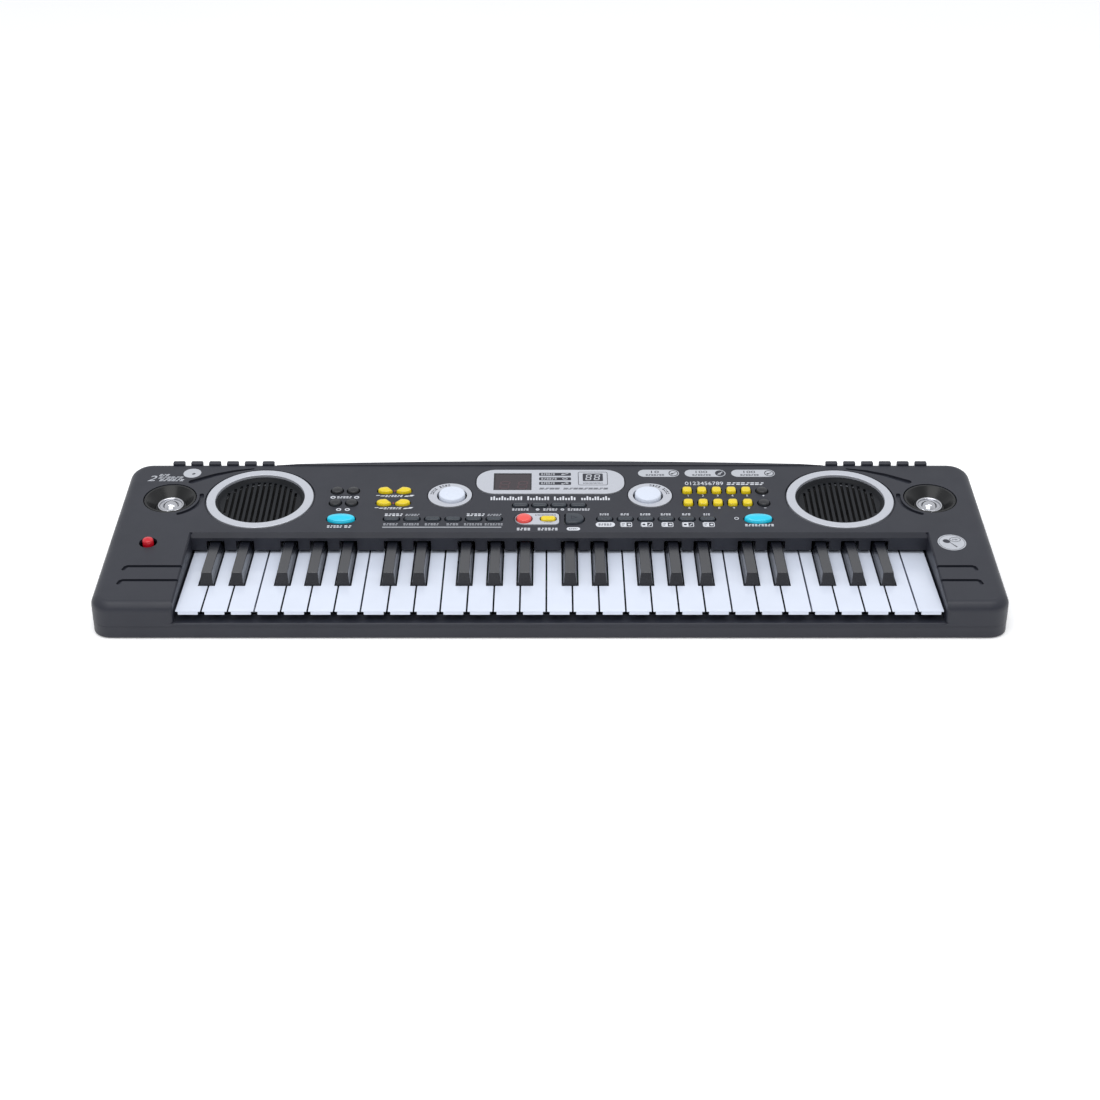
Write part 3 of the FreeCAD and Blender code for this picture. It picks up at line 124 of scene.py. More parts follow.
class Spot:
    """What one solid has above a level: centre, half sizes, top and outline."""

    def __init__(self, points, level=ON_SURFACE):
        flat = [(p.x, p.y) for p in points if p.z > level]
        xs = [p[0] for p in flat]
        vs = [p[1] for p in flat]
        self.x = (min(xs) + max(xs)) / 2
        self.v = (min(vs) + max(vs)) / 2
        self.half_w = (max(xs) - min(xs)) / 2
        self.half_d = (max(vs) - min(vs)) / 2
        self.top = max(p.z for p in points)
        self.outline = [flat[i] for i in convex_hull_2d(flat)]


def spots(name):
    """The spots of a node, rear row first and left to right."""
    return sorted((Spot(points) for points in solids(name)), key=lambda s: (-round(s.v), s.x))


def extent(name):
    """Lowest and highest panel corner of a node."""
    points = [point for group in solids(name) for point in group]
    low = Vector([min(p[k] for p in points) for k in range(3)])
    high = Vector([max(p[k] for p in points) for k in range(3)])
    return low, high


# ---------------------------------------------------------------- materials


def srgb(red, green, blue):
    """Linear colour from 0 to 255 display values."""
    linear = []
    for value in (red, green, blue):
        share = value / 255
        linear.append(share / 12.92 if share <= 0.04045 else ((share + 0.055) / 1.055) ** 2.4)
    return (*linear, 1.0)


def scaled(colour, factor):
    """A colour made lighter or darker."""
    return tuple(min(1.0, channel * factor) for channel in colour[:3]) + (1.0,)


class Finish:
    """A procedural surface: mottled colour, uneven roughness and a fine grain in the normal."""

    def __init__(self, name, colour, roughness, metallic=0.0, specular=0.5):
        self.material = bpy.data.materials.new(name)
        self.material.use_nodes = True
        self.nodes = self.material.node_tree.nodes
        self.links = self.material.node_tree.links
        self.shader = self.nodes["Principled BSDF"]
        self.shader.inputs["Base Color"].default_value = colour
        self.shader.inputs["Roughness"].default_value = roughness
        self.shader.inputs["Metallic"].default_value = metallic
        self.shader.inputs["Specular IOR Level"].default_value = specular
        self.colour = colour
        self.roughness = roughness
        self.place = self.nodes.new("ShaderNodeTexCoord").outputs["Object"]

    def noise(self, per_metre, detail=2.0, stretch=(1, 1, 1)):
        """Noise with so many features to the metre."""
        mapping = self.nodes.new("ShaderNodeMapping")
        mapping.inputs["Scale"].default_value = stretch
        texture = self.nodes.new("ShaderNodeTexNoise")
        texture.inputs["Scale"].default_value = per_metre
        texture.inputs["Detail"].default_value = detail
        self.links.new(self.place, mapping.inputs["Vector"])
        self.links.new(mapping.outputs["Vector"], texture.inputs["Vector"])
        return texture.outputs["Fac"]

    def spread(self, value, low, high):
        """Stretch the middle of a noise to a range."""
        node = self.nodes.new("ShaderNodeMapRange")
        node.inputs["From Min"].default_value = 0.3
        node.inputs["From Max"].default_value = 0.7
        node.inputs["To Min"].default_value = low
        node.inputs["To Max"].default_value = high
        self.links.new(value, node.inputs["Value"])
        return node.outputs["Result"]

    def mottle(self, amount, per_metre=28.0):
        """Vary the colour a little."""
        mix = self.nodes.new("ShaderNodeMix")
        mix.data_type = "RGBA"
        mix.inputs["A"].default_value = scaled(self.colour, 1 - amount)
        mix.inputs["B"].default_value = scaled(self.colour, 1 + amount)
        self.links.new(self.spread(self.noise(per_metre, 3.0), 0.0, 1.0), mix.inputs["Factor"])
        self.links.new(mix.outputs["Result"], self.shader.inputs["Base Color"])
        return self

    def uneven(self, amount, per_metre=60.0):
        """Vary the roughness."""
        low = max(0.0, self.roughness - amount)
        value = self.spread(self.noise(per_metre), low, self.roughness + amount)
        self.links.new(value, self.shader.inputs["Roughness"])
        return self

    def grain(self, depth_mm, per_metre, strength=1.0, stretch=(1, 1, 1)):
        """Fine relief, in the normal only."""
        bump = self.nodes.new("ShaderNodeBump")
        bump.inputs["Distance"].default_value = depth_mm * MM
        bump.inputs["Strength"].default_value = strength
        self.links.new(self.noise(per_metre, 2.0, stretch), bump.inputs["Height"])
        self.links.new(bump.outputs["Normal"], self.shader.inputs["Normal"])
        return self

    def coat(self, weight, roughness):
        """Clear glossy layer."""
        self.shader.inputs["Coat Weight"].default_value = weight
        self.shader.inputs["Coat Roughness"].default_value = roughness
        return self


def satin(name, colour, roughness, specular=0.5):
    """Moulded plastic with a fine spark-eroded grain."""
    finish = Finish(name, colour, roughness, 0.0, specular)
    return finish.mottle(0.05).uneven(0.04).grain(0.012, 2600, 0.5)


def gloss(name, colour, roughness, specular=0.5):
    """Polished moulded plastic with slight ripples."""
    finish = Finish(name, colour, roughness, 0.0, specular)
    return finish.mottle(0.03).uneven(0.03).grain(0.006, 150, 0.15)


def build_materials():
    """Every material by name: those of the record's slots, and the inks and finishes added here."""
    made = {
        "case_grey": satin("case_grey", srgb(39, 41, 50), 0.44, 0.4),
        "lower_case_grey": satin("lower_case_grey", srgb(39, 41, 50), 0.44, 0.4),
        "key_white": gloss("key_white", srgb(213, 220, 235), 0.22).coat(0.3, 0.1),
        "key_black": gloss("key_black", srgb(23, 25, 33), 0.24, 1.0),
        "button_yellow": gloss("button_yellow", srgb(228, 202, 18), 0.25).coat(0.2, 0.1),
        "button_cyan": gloss("button_cyan", srgb(16, 200, 232), 0.22).coat(0.4, 0.08),
        "button_white": gloss("button_white", srgb(212, 219, 233), 0.28).coat(0.2, 0.1),
        "button_red": gloss("button_red", srgb(232, 84, 78), 0.26).coat(0.2, 0.1),
        "power_red": gloss("power_red", srgb(196, 14, 34), 0.26).coat(0.2, 0.1),
        "button_grey": gloss("button_grey", srgb(44, 51, 60), 0.32),
        "button_dark": satin("button_dark", srgb(36, 37, 41), 0.36),
        "silver_paint": Finish("silver_paint", srgb(196, 199, 207), 0.42, 0.4)
        .mottle(0.03, 900).uneven(0.05, 200).grain(0.008, 4200, 0.35),
        "grille_black": satin("grille_black", srgb(24, 26, 30), 0.5, 0.2),
        "tweeter_black": satin("tweeter_black", srgb(15, 16, 18), 0.3, 0.4),
        "chrome_trim": Finish("chrome_trim", srgb(198, 199, 204), 0.1, 1.0)
        .mottle(0.02, 300).uneven(0.03, 300).grain(0.01, 500, 0.1),
        "window_tint": gloss("window_tint", srgb(46, 38, 44), 0.2),
        # Dark satin; it is the colour of the painted shade band inside the display window.
        "display_dark": satin("display_dark", srgb(28, 27, 30), 0.5),
        "board_green": gloss("board_green", srgb(24, 94, 54), 0.4).mottle(0.25, 500),
        "rubber_grey": satin("rubber_grey", srgb(150, 152, 150), 0.7, 0.3),
        "felt": Finish("felt", srgb(40, 42, 48), 0.95, 0.0, 0.1)
        .mottle(0.2, 2000).uneven(0.04, 900).grain(0.2, 3000, 0.8),
        "frame_plastic": satin("frame_plastic", srgb(44, 45, 49), 0.5),
        "steel": Finish("steel", srgb(176, 178, 182), 0.3, 1.0)
        .mottle(0.08, 400).uneven(0.08, 500).grain(0.01, 1800, 0.4, (1, 8, 8)),
        "paper_cone": satin("paper_cone", srgb(24, 24, 25), 0.85, 0.2),
        "ferrite": satin("ferrite", srgb(46, 45, 46), 0.6),
        "cell_wrap": gloss("cell_wrap", srgb(28, 60, 42), 0.25).mottle(0.2, 80),
        "wire_cover": gloss("wire_cover", srgb(150, 152, 156), 0.4),
        "foot_rubber": satin("foot_rubber", srgb(22, 22, 23), 0.8, 0.25),
        "ink_light": satin("ink_light", srgb(208, 211, 218), 0.5, 0.3),
        "ink_grey": satin("ink_grey", srgb(158, 161, 168), 0.5, 0.3),
        "ink_silver": Finish("ink_silver", srgb(190, 193, 200), 0.5, 0.3)
        .mottle(0.03, 900).uneven(0.05).grain(0.004, 4000, 0.3),
        "ink_dark": satin("ink_dark", srgb(50, 52, 60), 0.5, 0.3),
        "digit_unlit": gloss("digit_unlit", srgb(66, 47, 53), 0.2),
    }
    return {name: made[name].material for name in made}


MATERIALS = build_materials()

# Nodes that look different from the rest of their slot.
OWN_FINISH = {
    "chord_buttons": "button_dark",
    "step_buttons": "button_dark",
    "power_button": "power_red",
    "tweeter_cups": "tweeter_black",
}


def dress_cad_nodes():
    """Give every CAD node the material of its slot in the record, and return the slots."""
    slots = {part["node"]: part["material_slot"] for part in frame["record"]["subparts"]}
    for name, node in NODES.items():
        wanted = OWN_FINISH.get(name, slots[name])
        node.data.materials.clear()
        node.data.materials.append(MATERIALS[wanted])
    return slots


SLOTS = dress_cad_nodes()


# ---------------------------------------------------------------- mesh helpers


def new_piece(name, work, material, body, smooth_angle=None):
    """Turn a bmesh in panel millimetres into a piece that rides on a body."""
    work.transform(PANEL)
    bmesh.ops.recalc_face_normals(work, faces=work.faces)
    mesh = bpy.data.meshes.new(name)
    work.to_mesh(mesh)
    work.free()
    mesh.materials.append(MATERIALS[material])
    if smooth_angle is not None:
        mesh.shade_smooth()
        mesh.set_sharp_from_angle(angle=math.radians(smooth_angle))
    piece = bpy.data.objects.new(name, mesh)
    bpy.context.scene.collection.objects.link(piece)
    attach(piece, body)
    return piece


def add_prism(work, outline, low, high):
    """Closed prism on a flat outline."""
    bottom = [work.verts.new((x, v, low)) for x, v in outline]
    top = [work.verts.new((x, v, high)) for x, v in outline]
    work.faces.new(top)
    work.faces.new(bottom[::-1])
    for i in range(len(outline)):
        j = (i + 1) % len(outline)
        work.faces.new((bottom[i], bottom[j], top[j], top[i]))


def add_band(work, outer, inner, low, high):
    """Closed band between two outlines with equal numbers of points."""
    count = len(outer)
    loops = []
    for outline, height in ((outer, low), (outer, high), (inner, high), (inner, low)):
        loops.append([work.verts.new((x, v, height)) for x, v in outline])
    for a, b in zip(loops, loops[1:] + loops[:1]):
        for i in range(count):
            j = (i + 1) % count
            work.faces.new((a[i], a[j], b[j], b[i]))


def ellipse(x, v, half_w, half_d, steps=40, turn=0.0):
    """Outline of an ellipse."""
    points = []
    for step in range(steps):
        angle = 2 * math.pi * step / steps
        u, w = half_w * math.cos(angle), half_d * math.sin(angle)
        px = x + u * math.cos(turn) - w * math.sin(turn)
        pv = v + u * math.sin(turn) + w * math.cos(turn)
        points.append((px, pv))
    return points


def rounded(x, v, half_w, half_d, radius, steps=6, slant=0.0):
    """Outline of a rectangle with round corners, leaning by a slant."""
    radius = min(radius, half_w - 1e-4, half_d - 1e-4)
    points = []
    for corner, (sx, sv) in enumerate(((1, 1), (-1, 1), (-1, -1), (1, -1))):
        for step in range(steps + 1):
            angle = math.pi / 2 * (corner + step / steps)
            px = sx * (half_w - radius) + radius * math.cos(angle)
            pv = sv * (half_d - radius) + radius * math.sin(angle)
            points.append((x + px + pv * slant, v + pv))
    return points


def inset(outline, distance):
    """A convex outline drawn in by a distance."""
    moved = []
    count = len(outline)
    for i, point in enumerate(outline):
        before = Vector(outline[i - 1])
        here = Vector(point)
        after = Vector(outline[(i + 1) % count])
        a = (here - before).normalized()
        b = (after - here).normalized()
        normal_a = Vector((-a.y, a.x))
        normal_b = Vector((-b.y, b.x))
        step = (normal_a + normal_b) / max(0.3, 1 + normal_a.dot(normal_b))
        moved.append(tuple(here + step * distance))
    return moved


def resampled(outline, count):
    """The outline as so many evenly spaced points, anticlockwise."""
    points = [Vector(p) for p in outline]
    area = sum(a.x * b.y - b.x * a.y for a, b in zip(points, points[1:] + points[:1]))
    if area < 0:
        points.reverse()
    lengths = [(b - a).length for a, b in zip(points, points[1:] + points[:1])]
    total = sum(lengths)
    result = []
    index, start = 0, 0.0
    for step in range(count):
        wanted = total * step / count
        while start + lengths[index] < wanted:
            start += lengths[index]
            index += 1
        share = (wanted - start) / lengths[index]
        result.append(tuple(points[index].lerp(points[(index + 1) % len(points)], share)))
    return result


# ---------------------------------------------------------------- button caps


CAP_POINTS = 64
CAP_FOOT = -2.6
CAP_DRAFT = 0.12
SHOULDER_STEPS = 6
CROWN_RINGS = (0.86, 0.68, 0.48, 0.26, 0.1)


def add_cap(work, outline, top, shoulder, crown):
    """Domed cap: side wall, round shoulder and a crown that rises to the middle."""
    outline = resampled(outline, CAP_POINTS)
    loops = [(outline, CAP_FOOT), (outline, top - shoulder - 0.2)]
    for step in range(SHOULDER_STEPS + 1):
        angle = math.radians(90 * step / SHOULDER_STEPS)
        drawn_in = CAP_DRAFT + shoulder * (1 - math.cos(angle))
        loops.append((inset(outline, drawn_in), top - shoulder + shoulder * math.sin(angle)))
    rim, rim_height = loops[-1]
    centre = Vector((sum(p[0] for p in rim), sum(p[1] for p in rim))) / len(rim)
    for share in CROWN_RINGS:
        ring = [tuple(centre + (Vector(p) - centre) * share) for p in rim]
        loops.append((ring, rim_height + crown * (1 - share ** 2)))
    rows = [[work.verts.new((x, v, h)) for x, v in points] for points, h in loops]
    count = len(outline)
    for low, high in zip(rows, rows[1:]):
        for i in range(count):
            j = (i + 1) % count
            work.faces.new((low[i], low[j], high[j], high[i]))
    work.faces.new(rows[0][::-1])
    tip = work.verts.new((centre.x, centre.y, rim_height + crown))
    for i in range(count):
        work.faces.new((rows[-1][i], rows[-1][(i + 1) % count], tip))


# Shoulder radius and crown height of the caps of each button node, in mm.
CAP_FORMS = {
    "power_button": (1.2, 0.5),
    "chord_buttons": (1.1, 0.5),
    "chord_off_button": (1.5, 0.9),
    "volume_buttons": (1.0, 0.5),
    "demo_one_button": (1.3, 0.7),
    "demo_all_button": (1.3, 0.7),
    "left_function_buttons": (1.2, 0.25),
    "lesson_tempo_buttons": (1.2, 0.25),
    "program_button": (1.3, 0.6),
    "record_button": (1.1, 0.3),
    "play_button": (1.0, 0.25),
    "right_sound_buttons": (1.2, 0.25),
    "number_buttons": (1.1, 0.35),
    "step_buttons": (1.1, 0.5),
    "tone_rhythm_button": (1.5, 0.9),
}


def button_caps():
    """Replace every plain CAD button with a domed cap on the same outline."""
    for name, (shoulder, crown) in CAP_FORMS.items():
        work = bmesh.new()
        for spot in spots(name):
            add_cap(work, spot.outline, spot.top, shoulder, crown)
        finish = OWN_FINISH.get(name, SLOTS[name])
        body = NODES[name]["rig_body"]
        piece = new_piece(name + "_caps", work, finish, body, smooth_angle=35)
        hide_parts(name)


# ---------------------------------------------------------------- printed marks

# Heights of labels, and how far they stand from the middle of a pill button, in mm.
LABEL = 2.5
HEADING = 3.2
BELOW_PILL = -6.8
ABOVE_PILL = 6.3
SEGMENT_SLANT = 0.12


class Print:
    """Thin printed marks of one colour, gathered into one piece."""

    def __init__(self, level=0.0):
        self.work = bmesh.new()
        self.level = level

    def shape(self, outline):
        """Filled shape on a flat outline."""
        add_prism(self.work, outline, self.level - SUNK, self.level + INK)

    def bar(self, x0, x1, v, height, radius=0.3, slant=0.0):
        """Bar between two X, with round corners."""
        half = (x1 - x0) / 2
        self.shape(rounded(x0 + half, v, half, height / 2, radius, 4, slant))

    def dot(self, x, v, radius_x, radius_v=None):
        """Filled circle, or oval."""
        self.shape(ellipse(x, v, radius_x, radius_v or radius_x, 24))

    def band(self, outer, inner):
        """Band between two outlines."""
        add_band(self.work, outer, inner, self.level - SUNK, self.level + INK)

    def loop(self, x, v, half_w, half_d, thick, radius=None):
        """Outline of an oval, or of a rounded rectangle if it has a radius."""
        if radius is None:
            self.band(ellipse(x, v, half_w, half_d), ellipse(x, v, half_w - thick, half_d - thick))
        else:
            outer = rounded(x, v, half_w, half_d, radius)
            inner = rounded(x, v, half_w - thick, half_d - thick, max(0.15, radius - thick))
            self.band(outer, inner)

    def stroke(self, a, b, width):
        """Straight stroke between two points."""
        along = (Vector(b) - Vector(a)).normalized() * width / 2
        side = Vector((-along.y, along.x))
        a, b = Vector(a), Vector(b)
        self.shape([tuple(p) for p in (a - side, b - side, b + side, a + side)])

    def word(self, x0, x1, v, height, slant=0.0, width=0.62):
        """Generic filler where a label would be: dashes in two storeys, so many heights wide."""
        pitch = height * (width + 0.2)
        count = max(2, round((x1 - x0) / pitch))
        pitch = (x1 - x0) / count
        dash = pitch - height * 0.2
        storey = height * 0.38
        rise = (height - storey) / 2
        lean = rise * slant
        for index in range(count):
            left = x0 + index * pitch
            notch = dash * 0.3 * (index % 3 == 1)
            self.bar(left + notch + lean, left + dash + lean, v + rise, storey, 0.15, slant)
            self.bar(left - lean, left + dash - notch - lean, v - rise, storey, 0.15, slant)

    def plus(self, x, v, size, thick):
        """Plus sign, in three pieces that don't overlap."""
        self.bar(x - size, x + size, v, thick, 0.1)
        for side in (-1, 1):
            middle = v + side * (size + thick / 2) / 2
            self.bar(x - thick / 2, x + thick / 2, middle, size - thick / 2, 0.1)

    def text(self, string, x, v, height, width=None, slant=0.0):
        """Numerals, in the built-in font, centred on a point."""
        curve = bpy.data.curves.new("numerals", "FONT")
        curve.body = string
        curve.shear = slant
        curve.extrude = (INK + SUNK) / 2
        curve.resolution_u = 3
        holder = bpy.data.objects.new("numerals", curve)
        bpy.context.scene.collection.objects.link(holder)
        bpy.context.view_layer.update()
        graph = bpy.context.evaluated_depsgraph_get()
        mesh = bpy.data.meshes.new_from_object(holder.evaluated_get(graph))
        low = Vector([min(p.co[k] for p in mesh.vertices) for k in range(3)])
        high = Vector([max(p.co[k] for p in mesh.vertices) for k in range(3)])
        scale_v = height / (high.y - low.y)
        scale_x = scale_v if width is None else width / (high.x - low.x)
        centre = (low + high) / 2
        for vertex in mesh.vertices:
            vertex.co.x = x + (vertex.co.x - centre.x) * scale_x
            vertex.co.y = v + (vertex.co.y - centre.y) * scale_v
            vertex.co.z = self.level + (INK - SUNK) / 2 + vertex.co.z
        self.work.from_mesh(mesh)
        bpy.data.objects.remove(holder)
        bpy.data.curves.remove(curve)
        bpy.data.meshes.remove(mesh)

    def segments(self, x, v, half_w, half_d, thick):
        """A seven-segment 8, leaning a little."""
        for row in (-1, 0, 1):
            middle = v + row * (half_d - thick / 2)
            lean = (middle - v) * SEGMENT_SLANT
            reach = half_w - thick * 0.6
            self.bar(x - reach + lean, x + reach + lean, middle, thick, 0.1)
        for side in (-1, 1):
            for row in (-1, 1):
                middle = v + row * half_d / 2
                lean = (middle - v) * SEGMENT_SLANT
                left = x + side * (half_w - thick / 2) - thick / 2 + lean
                self.bar(left, left + thick, middle, half_d - thick * 1.1, 0.1, SEGMENT_SLANT)

    def done(self, name, finish, body="case"):
        """Make the piece."""
        return new_piece(name, self.work, finish, body)


def chord_marks():
    """Ovals and label between the chord buttons, and the label of the oval button."""
    ink = Print()
    upper_left, upper_right, lower_left, lower_right = spots("chord_buttons")
    gap_v = (upper_left.v + lower_left.v) / 2 - 0.4
    for x in (upper_left.x - 2.4, upper_right.x + 3.1):
        ink.loop(x, gap_v, 1.9, 1.75, 0.85)
    ink.word(upper_left.x + 0.6, upper_right.x - 0.2, gap_v, LABEL)
    middle = (upper_left.x + upper_right.x) / 2
    for x in (middle - 2.8, middle + 3.5):
        ink.loop(x, lower_left.v - 8.6, 1.9, 1.75, 0.85)
    oval = spots("chord_off_button")[0]
    ink.word(oval.x - 9.1, oval.x + 2.1, oval.v - 9.7, LABEL + 0.3)
    ink.word(oval.x + 3.2, oval.x + 8.7, oval.v - 9.7, LABEL + 0.3)
    ink.done("chord_legends", "ink_light")


def volume_marks():
    """Slanting minus and plus bars, a label and a red dot for each pair of leaf buttons."""
    ink = Print()
    dots = Print()
    leaves = spots("volume_buttons")
    for left, right in (leaves[0:2], leaves[2:4]):
        middle = (left.x + right.x) / 2
        below = left.v - 6.9
        for index, thick in enumerate((0.7, 1.1)):
            start = middle - 13.2 + 3.4 * index
            ink.bar(start, start + 2.9, below + 0.8 - 0.7 * index, thick, 0.2, 0.9)
        for index, thick in enumerate((1.5, 1.9)):
            start = middle + 7.9 + 3.4 * index
            ink.bar(start, start + 2.8, below - 0.2 + 0.7 * index, thick, 0.2, 0.9)
        ink.word(middle - 6.3, middle + 6.6, below, LABEL, 0.25)
        dots.dot(middle, left.v, 0.55)
    ink.done("volume_legends", "ink_light")
    dots.done("volume_dots", "power_red")


def pill_row_marks():
    """Labels under and over the pill buttons, and the thin line under the left row."""
    ink = Print()
    fine = Print()
    left = spots("left_function_buttons")
    for spot, half in zip(left, (5.4, 5.7, 5.2, 4.4, 6.7, 6.7)):
        fine.word(spot.x - half, spot.x + half, spot.v + BELOW_PILL, LABEL)
    for first, second in ((left[0], left[1]), (left[4], left[5])):
        heading = first.v + ABOVE_PILL - 0.5
        ink.word(first.x - 5.1, first.x + 8.4, heading, HEADING)
        fine.word(second.x - 4.9, second.x + 5.3, heading - 0.2, LABEL, 0.3)
    under = left[0].v - 10.6
    fine.bar(left[0].x - 5.9, left[-1].x + 5.4, under, 1.3, 0.3)
    tempo = spots("lesson_tempo_buttons")
    below = tempo[0].v - 5.6
    ink.word(tempo[0].x - 5.9, tempo[0].x + 6.4, below, LABEL)
    minus_x, plus_x = tempo[1].x - 1.5, tempo[2].x + 2.5
    for x in (minus_x, plus_x):
        ink.dot(x, below, 1.3, 1.35)
    ink.word(tempo[1].x + 2.6, tempo[2].x - 0.7, below, LABEL)
    ink.word(tempo[3].x - 7.6, tempo[3].x + 8.8, below, LABEL)
    ink.done("pill_headings", "ink_light")
    fine.done("pill_labels", "ink_grey")
    cut = Print(INK)
    cut.bar(minus_x - 0.75, minus_x + 0.75, below, 0.4, 0.1)
    cut.plus(plus_x, below, 0.75, 0.4)
    cut.done("tempo_signs", "ink_dark")


def equaliser_marks():
    """Rows of upright bars under the display plate, where a slogan would be."""
    ink = Print()
    low, high = extent("display_plate")
    base = low.y - 8.3
    middle = (low.x + high.x) / 2
    for start, end in ((-44.1, -20.3), (-17.3, -0.6), (2.2, 18.7), (22.2, 43.7)):
        start, end = middle + start, middle + end
        count = round((end - start) / 2.0)
        for index in range(count):
            x = start + (end - start) * (index + 0.5) / count
            wave = math.sin(index * 1.9 + start) * 0.5 + 0.5
            tall = 2.4 + 3.0 * wave
            ink.bar(x - 0.62, x + 0.62, base + tall / 2, tall, 0.25)
    ink.done("panel_equaliser_marks", "ink_light")


def display_marks():
    """What is printed on the display plate: strips, small picture and a fine line of marks."""
    low, high = extent("display_plate")
    level = high.z
    dark = Print(level)
    light = Print(level + INK)
    strip_x0 = low.x + 46.2
    for index in range(3):
        v = high.y - 6.4 - 6.35 * index
        dark.bar(strip_x0, strip_x0 + 23.7, v, 4.1, 0.8)
        light.word(strip_x0 + 1.6, strip_x0 + 12.0 + (index == 1) * 1.5, v, 2.3)
    icon_x = strip_x0 + 19.2
    light.stroke((icon_x - 2.4, high.y - 7.4), (icon_x + 2.6, high.y - 5.2), 0.8)
    light.dot(icon_x - 1.4, high.y - 6.6, 1.3, 1.0)
    light.loop(icon_x, high.y - 12.7, 2.0, 1.4, 0.6)
    light.stroke((icon_x - 1.6, high.y - 20.2), (icon_x + 1.2, high.y - 18.0), 0.6)
    light.dot(icon_x - 1.8, high.y - 20.0, 1.0, 0.8)
    light.dot(icon_x + 1.6, high.y - 18.9, 1.0, 0.8)
    mini_x, mini_v = low.x + 86.1, high.y - 12.3
    dark.loop(mini_x, mini_v, 11.0, 9.3, 0.45, 1.6)
    dark.shape(rounded(mini_x, mini_v + 1.6, 7.5, 5.3, 0.8))
    for side in (-1, 1):
        light.segments(mini_x + side * 3.1, mini_v + 1.6, 2.1, 4.0, 0.95)
    dark.word(mini_x - 7.4, mini_x + 7.4, mini_v - 6.5, 1.2)
    for start, end in ((46.5, 61.7), (64.3, 97.4)):
        dark.word(low.x + start, low.x + end, low.y + 6.9, 2.1, 0.3, 1.5)
    dark.done("display_plate_print", "ink_dark")
    light.done("display_plate_light_print", "ink_silver")


def window_details():
    """Painted shade: a dark band round the inside edge of the window, a little wider at the left
    and rear, standing in for the shade of a recess; and the unlit digits inside it.
    """
    low, high = extent("display_window")
    centre_x, centre_v = (low.x + high.x) / 2, (low.y + high.y) / 2
    half_w, half_d = (high.x - low.x) / 2, (high.y - low.y) / 2
    # Painted shade: a dark band inside the window's edge, where a recess would lie in shade.
    painted_shade = Print(high.z)
    outer = rounded(centre_x, centre_v, half_w, half_d, 0.2)
    inner = rounded(centre_x + 0.15, centre_v - 0.15, half_w - 0.95, half_d - 1.0, 0.4)
    painted_shade.band(outer, inner)
    painted_shade.done("display_window_painted_shade", "display_dark")
    digits = Print(high.z)
    for side in (-1, 1):
        digits.segments(centre_x + side * 6.6 + 0.8, low.y + 7.3, 3.8, 5.3, 1.3)
    digits.done("display_digits", "digit_unlit")


def record_marks():
    """Fine marks on the record plate and the labels below it."""
    low, high = extent("record_plate")
    fine = Print(high.z)
    pill = spots("record_button")[0]
    fine.word(pill.x - 9.4, pill.x + 5.6, pill.v + 4.9, 1.2)
    fine.word(pill.x - 2.9, pill.x + 3.3, pill.v - 4.4, 0.9)
    fine.done("record_plate_print", "ink_dark")
    ink = Print()
    dome = spots("program_button")[0]
    ink.word(dome.x - 5.0, dome.x + 5.1, low.y - 5.6, HEADING)
    ink.word(pill.x - 7.4, pill.x + 7.3, low.y - 5.6, HEADING)
    play = spots("play_button")[0]
    ink.shape(rounded(play.x - 1.1, play.v - 12.7, 4.8, 2.1, 2.0))
    ink.done("record_labels", "ink_light")
    cut = Print(INK)
    cut.word(play.x - 4.3, play.x + 2.2, play.v - 12.7, 1.5)
    cut.done("play_label", "ink_dark")


def play_triangle():
    """Outline triangle on the play button."""
    play = spots("play_button")[0]
    crown = CAP_FORMS["play_button"][1]
    mark = Print(play.top + crown)
    size = 2.3
    corners = [(-size, -size), (size, 0.0), (-size, size)]
    outer = [(play.x - 0.4 + x, play.v + v) for x, v in corners]
    inner = [(play.x - 0.55 + x * 0.62, play.v + v * 0.62) for x, v in corners]
    add_band(mark.work, outer, inner, play.top - 0.2, play.top + crown + INK)
    mark.done("play_triangle", "ink_dark", "play_button")


def sound_marks():
    """Labels over the right pill buttons and a generic picture under each."""
    ink = Print()
    cut = Print(INK)
    row = spots("right_sound_buttons")
    for index, spot in enumerate(row):
        half = (3.5, 3.2, 3.9, 3.8, 3.2, 2.5)[index]
        ink.word(spot.x - half, spot.x + half, spot.v + ABOVE_PILL, 2.3)
        v = spot.v - 7.1
        if index == 0:
            ink.shape(rounded(spot.x + 0.3, v, 6.9, 3.1, 2.9))
            cut.word(spot.x - 4.6, spot.x + 5.2, v, 2.4)
            continue
        x = spot.x + 0.4
        ink.loop(x, v, 4.25, 3.1, 0.55, 1.3)
        ink.shape(rounded(x - 1.9, v, 2.2, 2.8, 0.6))
        if index % 2:
            ink.dot(x + 2.2, v, 1.1)
            cut.bar(x - 3.1, x - 0.8, v + 0.9, 0.7, 0.2)
            cut.bar(x - 3.1, x - 1.6, v - 0.8, 0.7, 0.2)
        else:
            ink.stroke((x + 1.2, v - 1.3), (x + 3.1, v + 1.3), 0.8)
            cut.dot(x - 2.0, v, 1.1)
    ink.done("sound_legends", "ink_light")
    cut.done("sound_legend_details", "ink_dark")


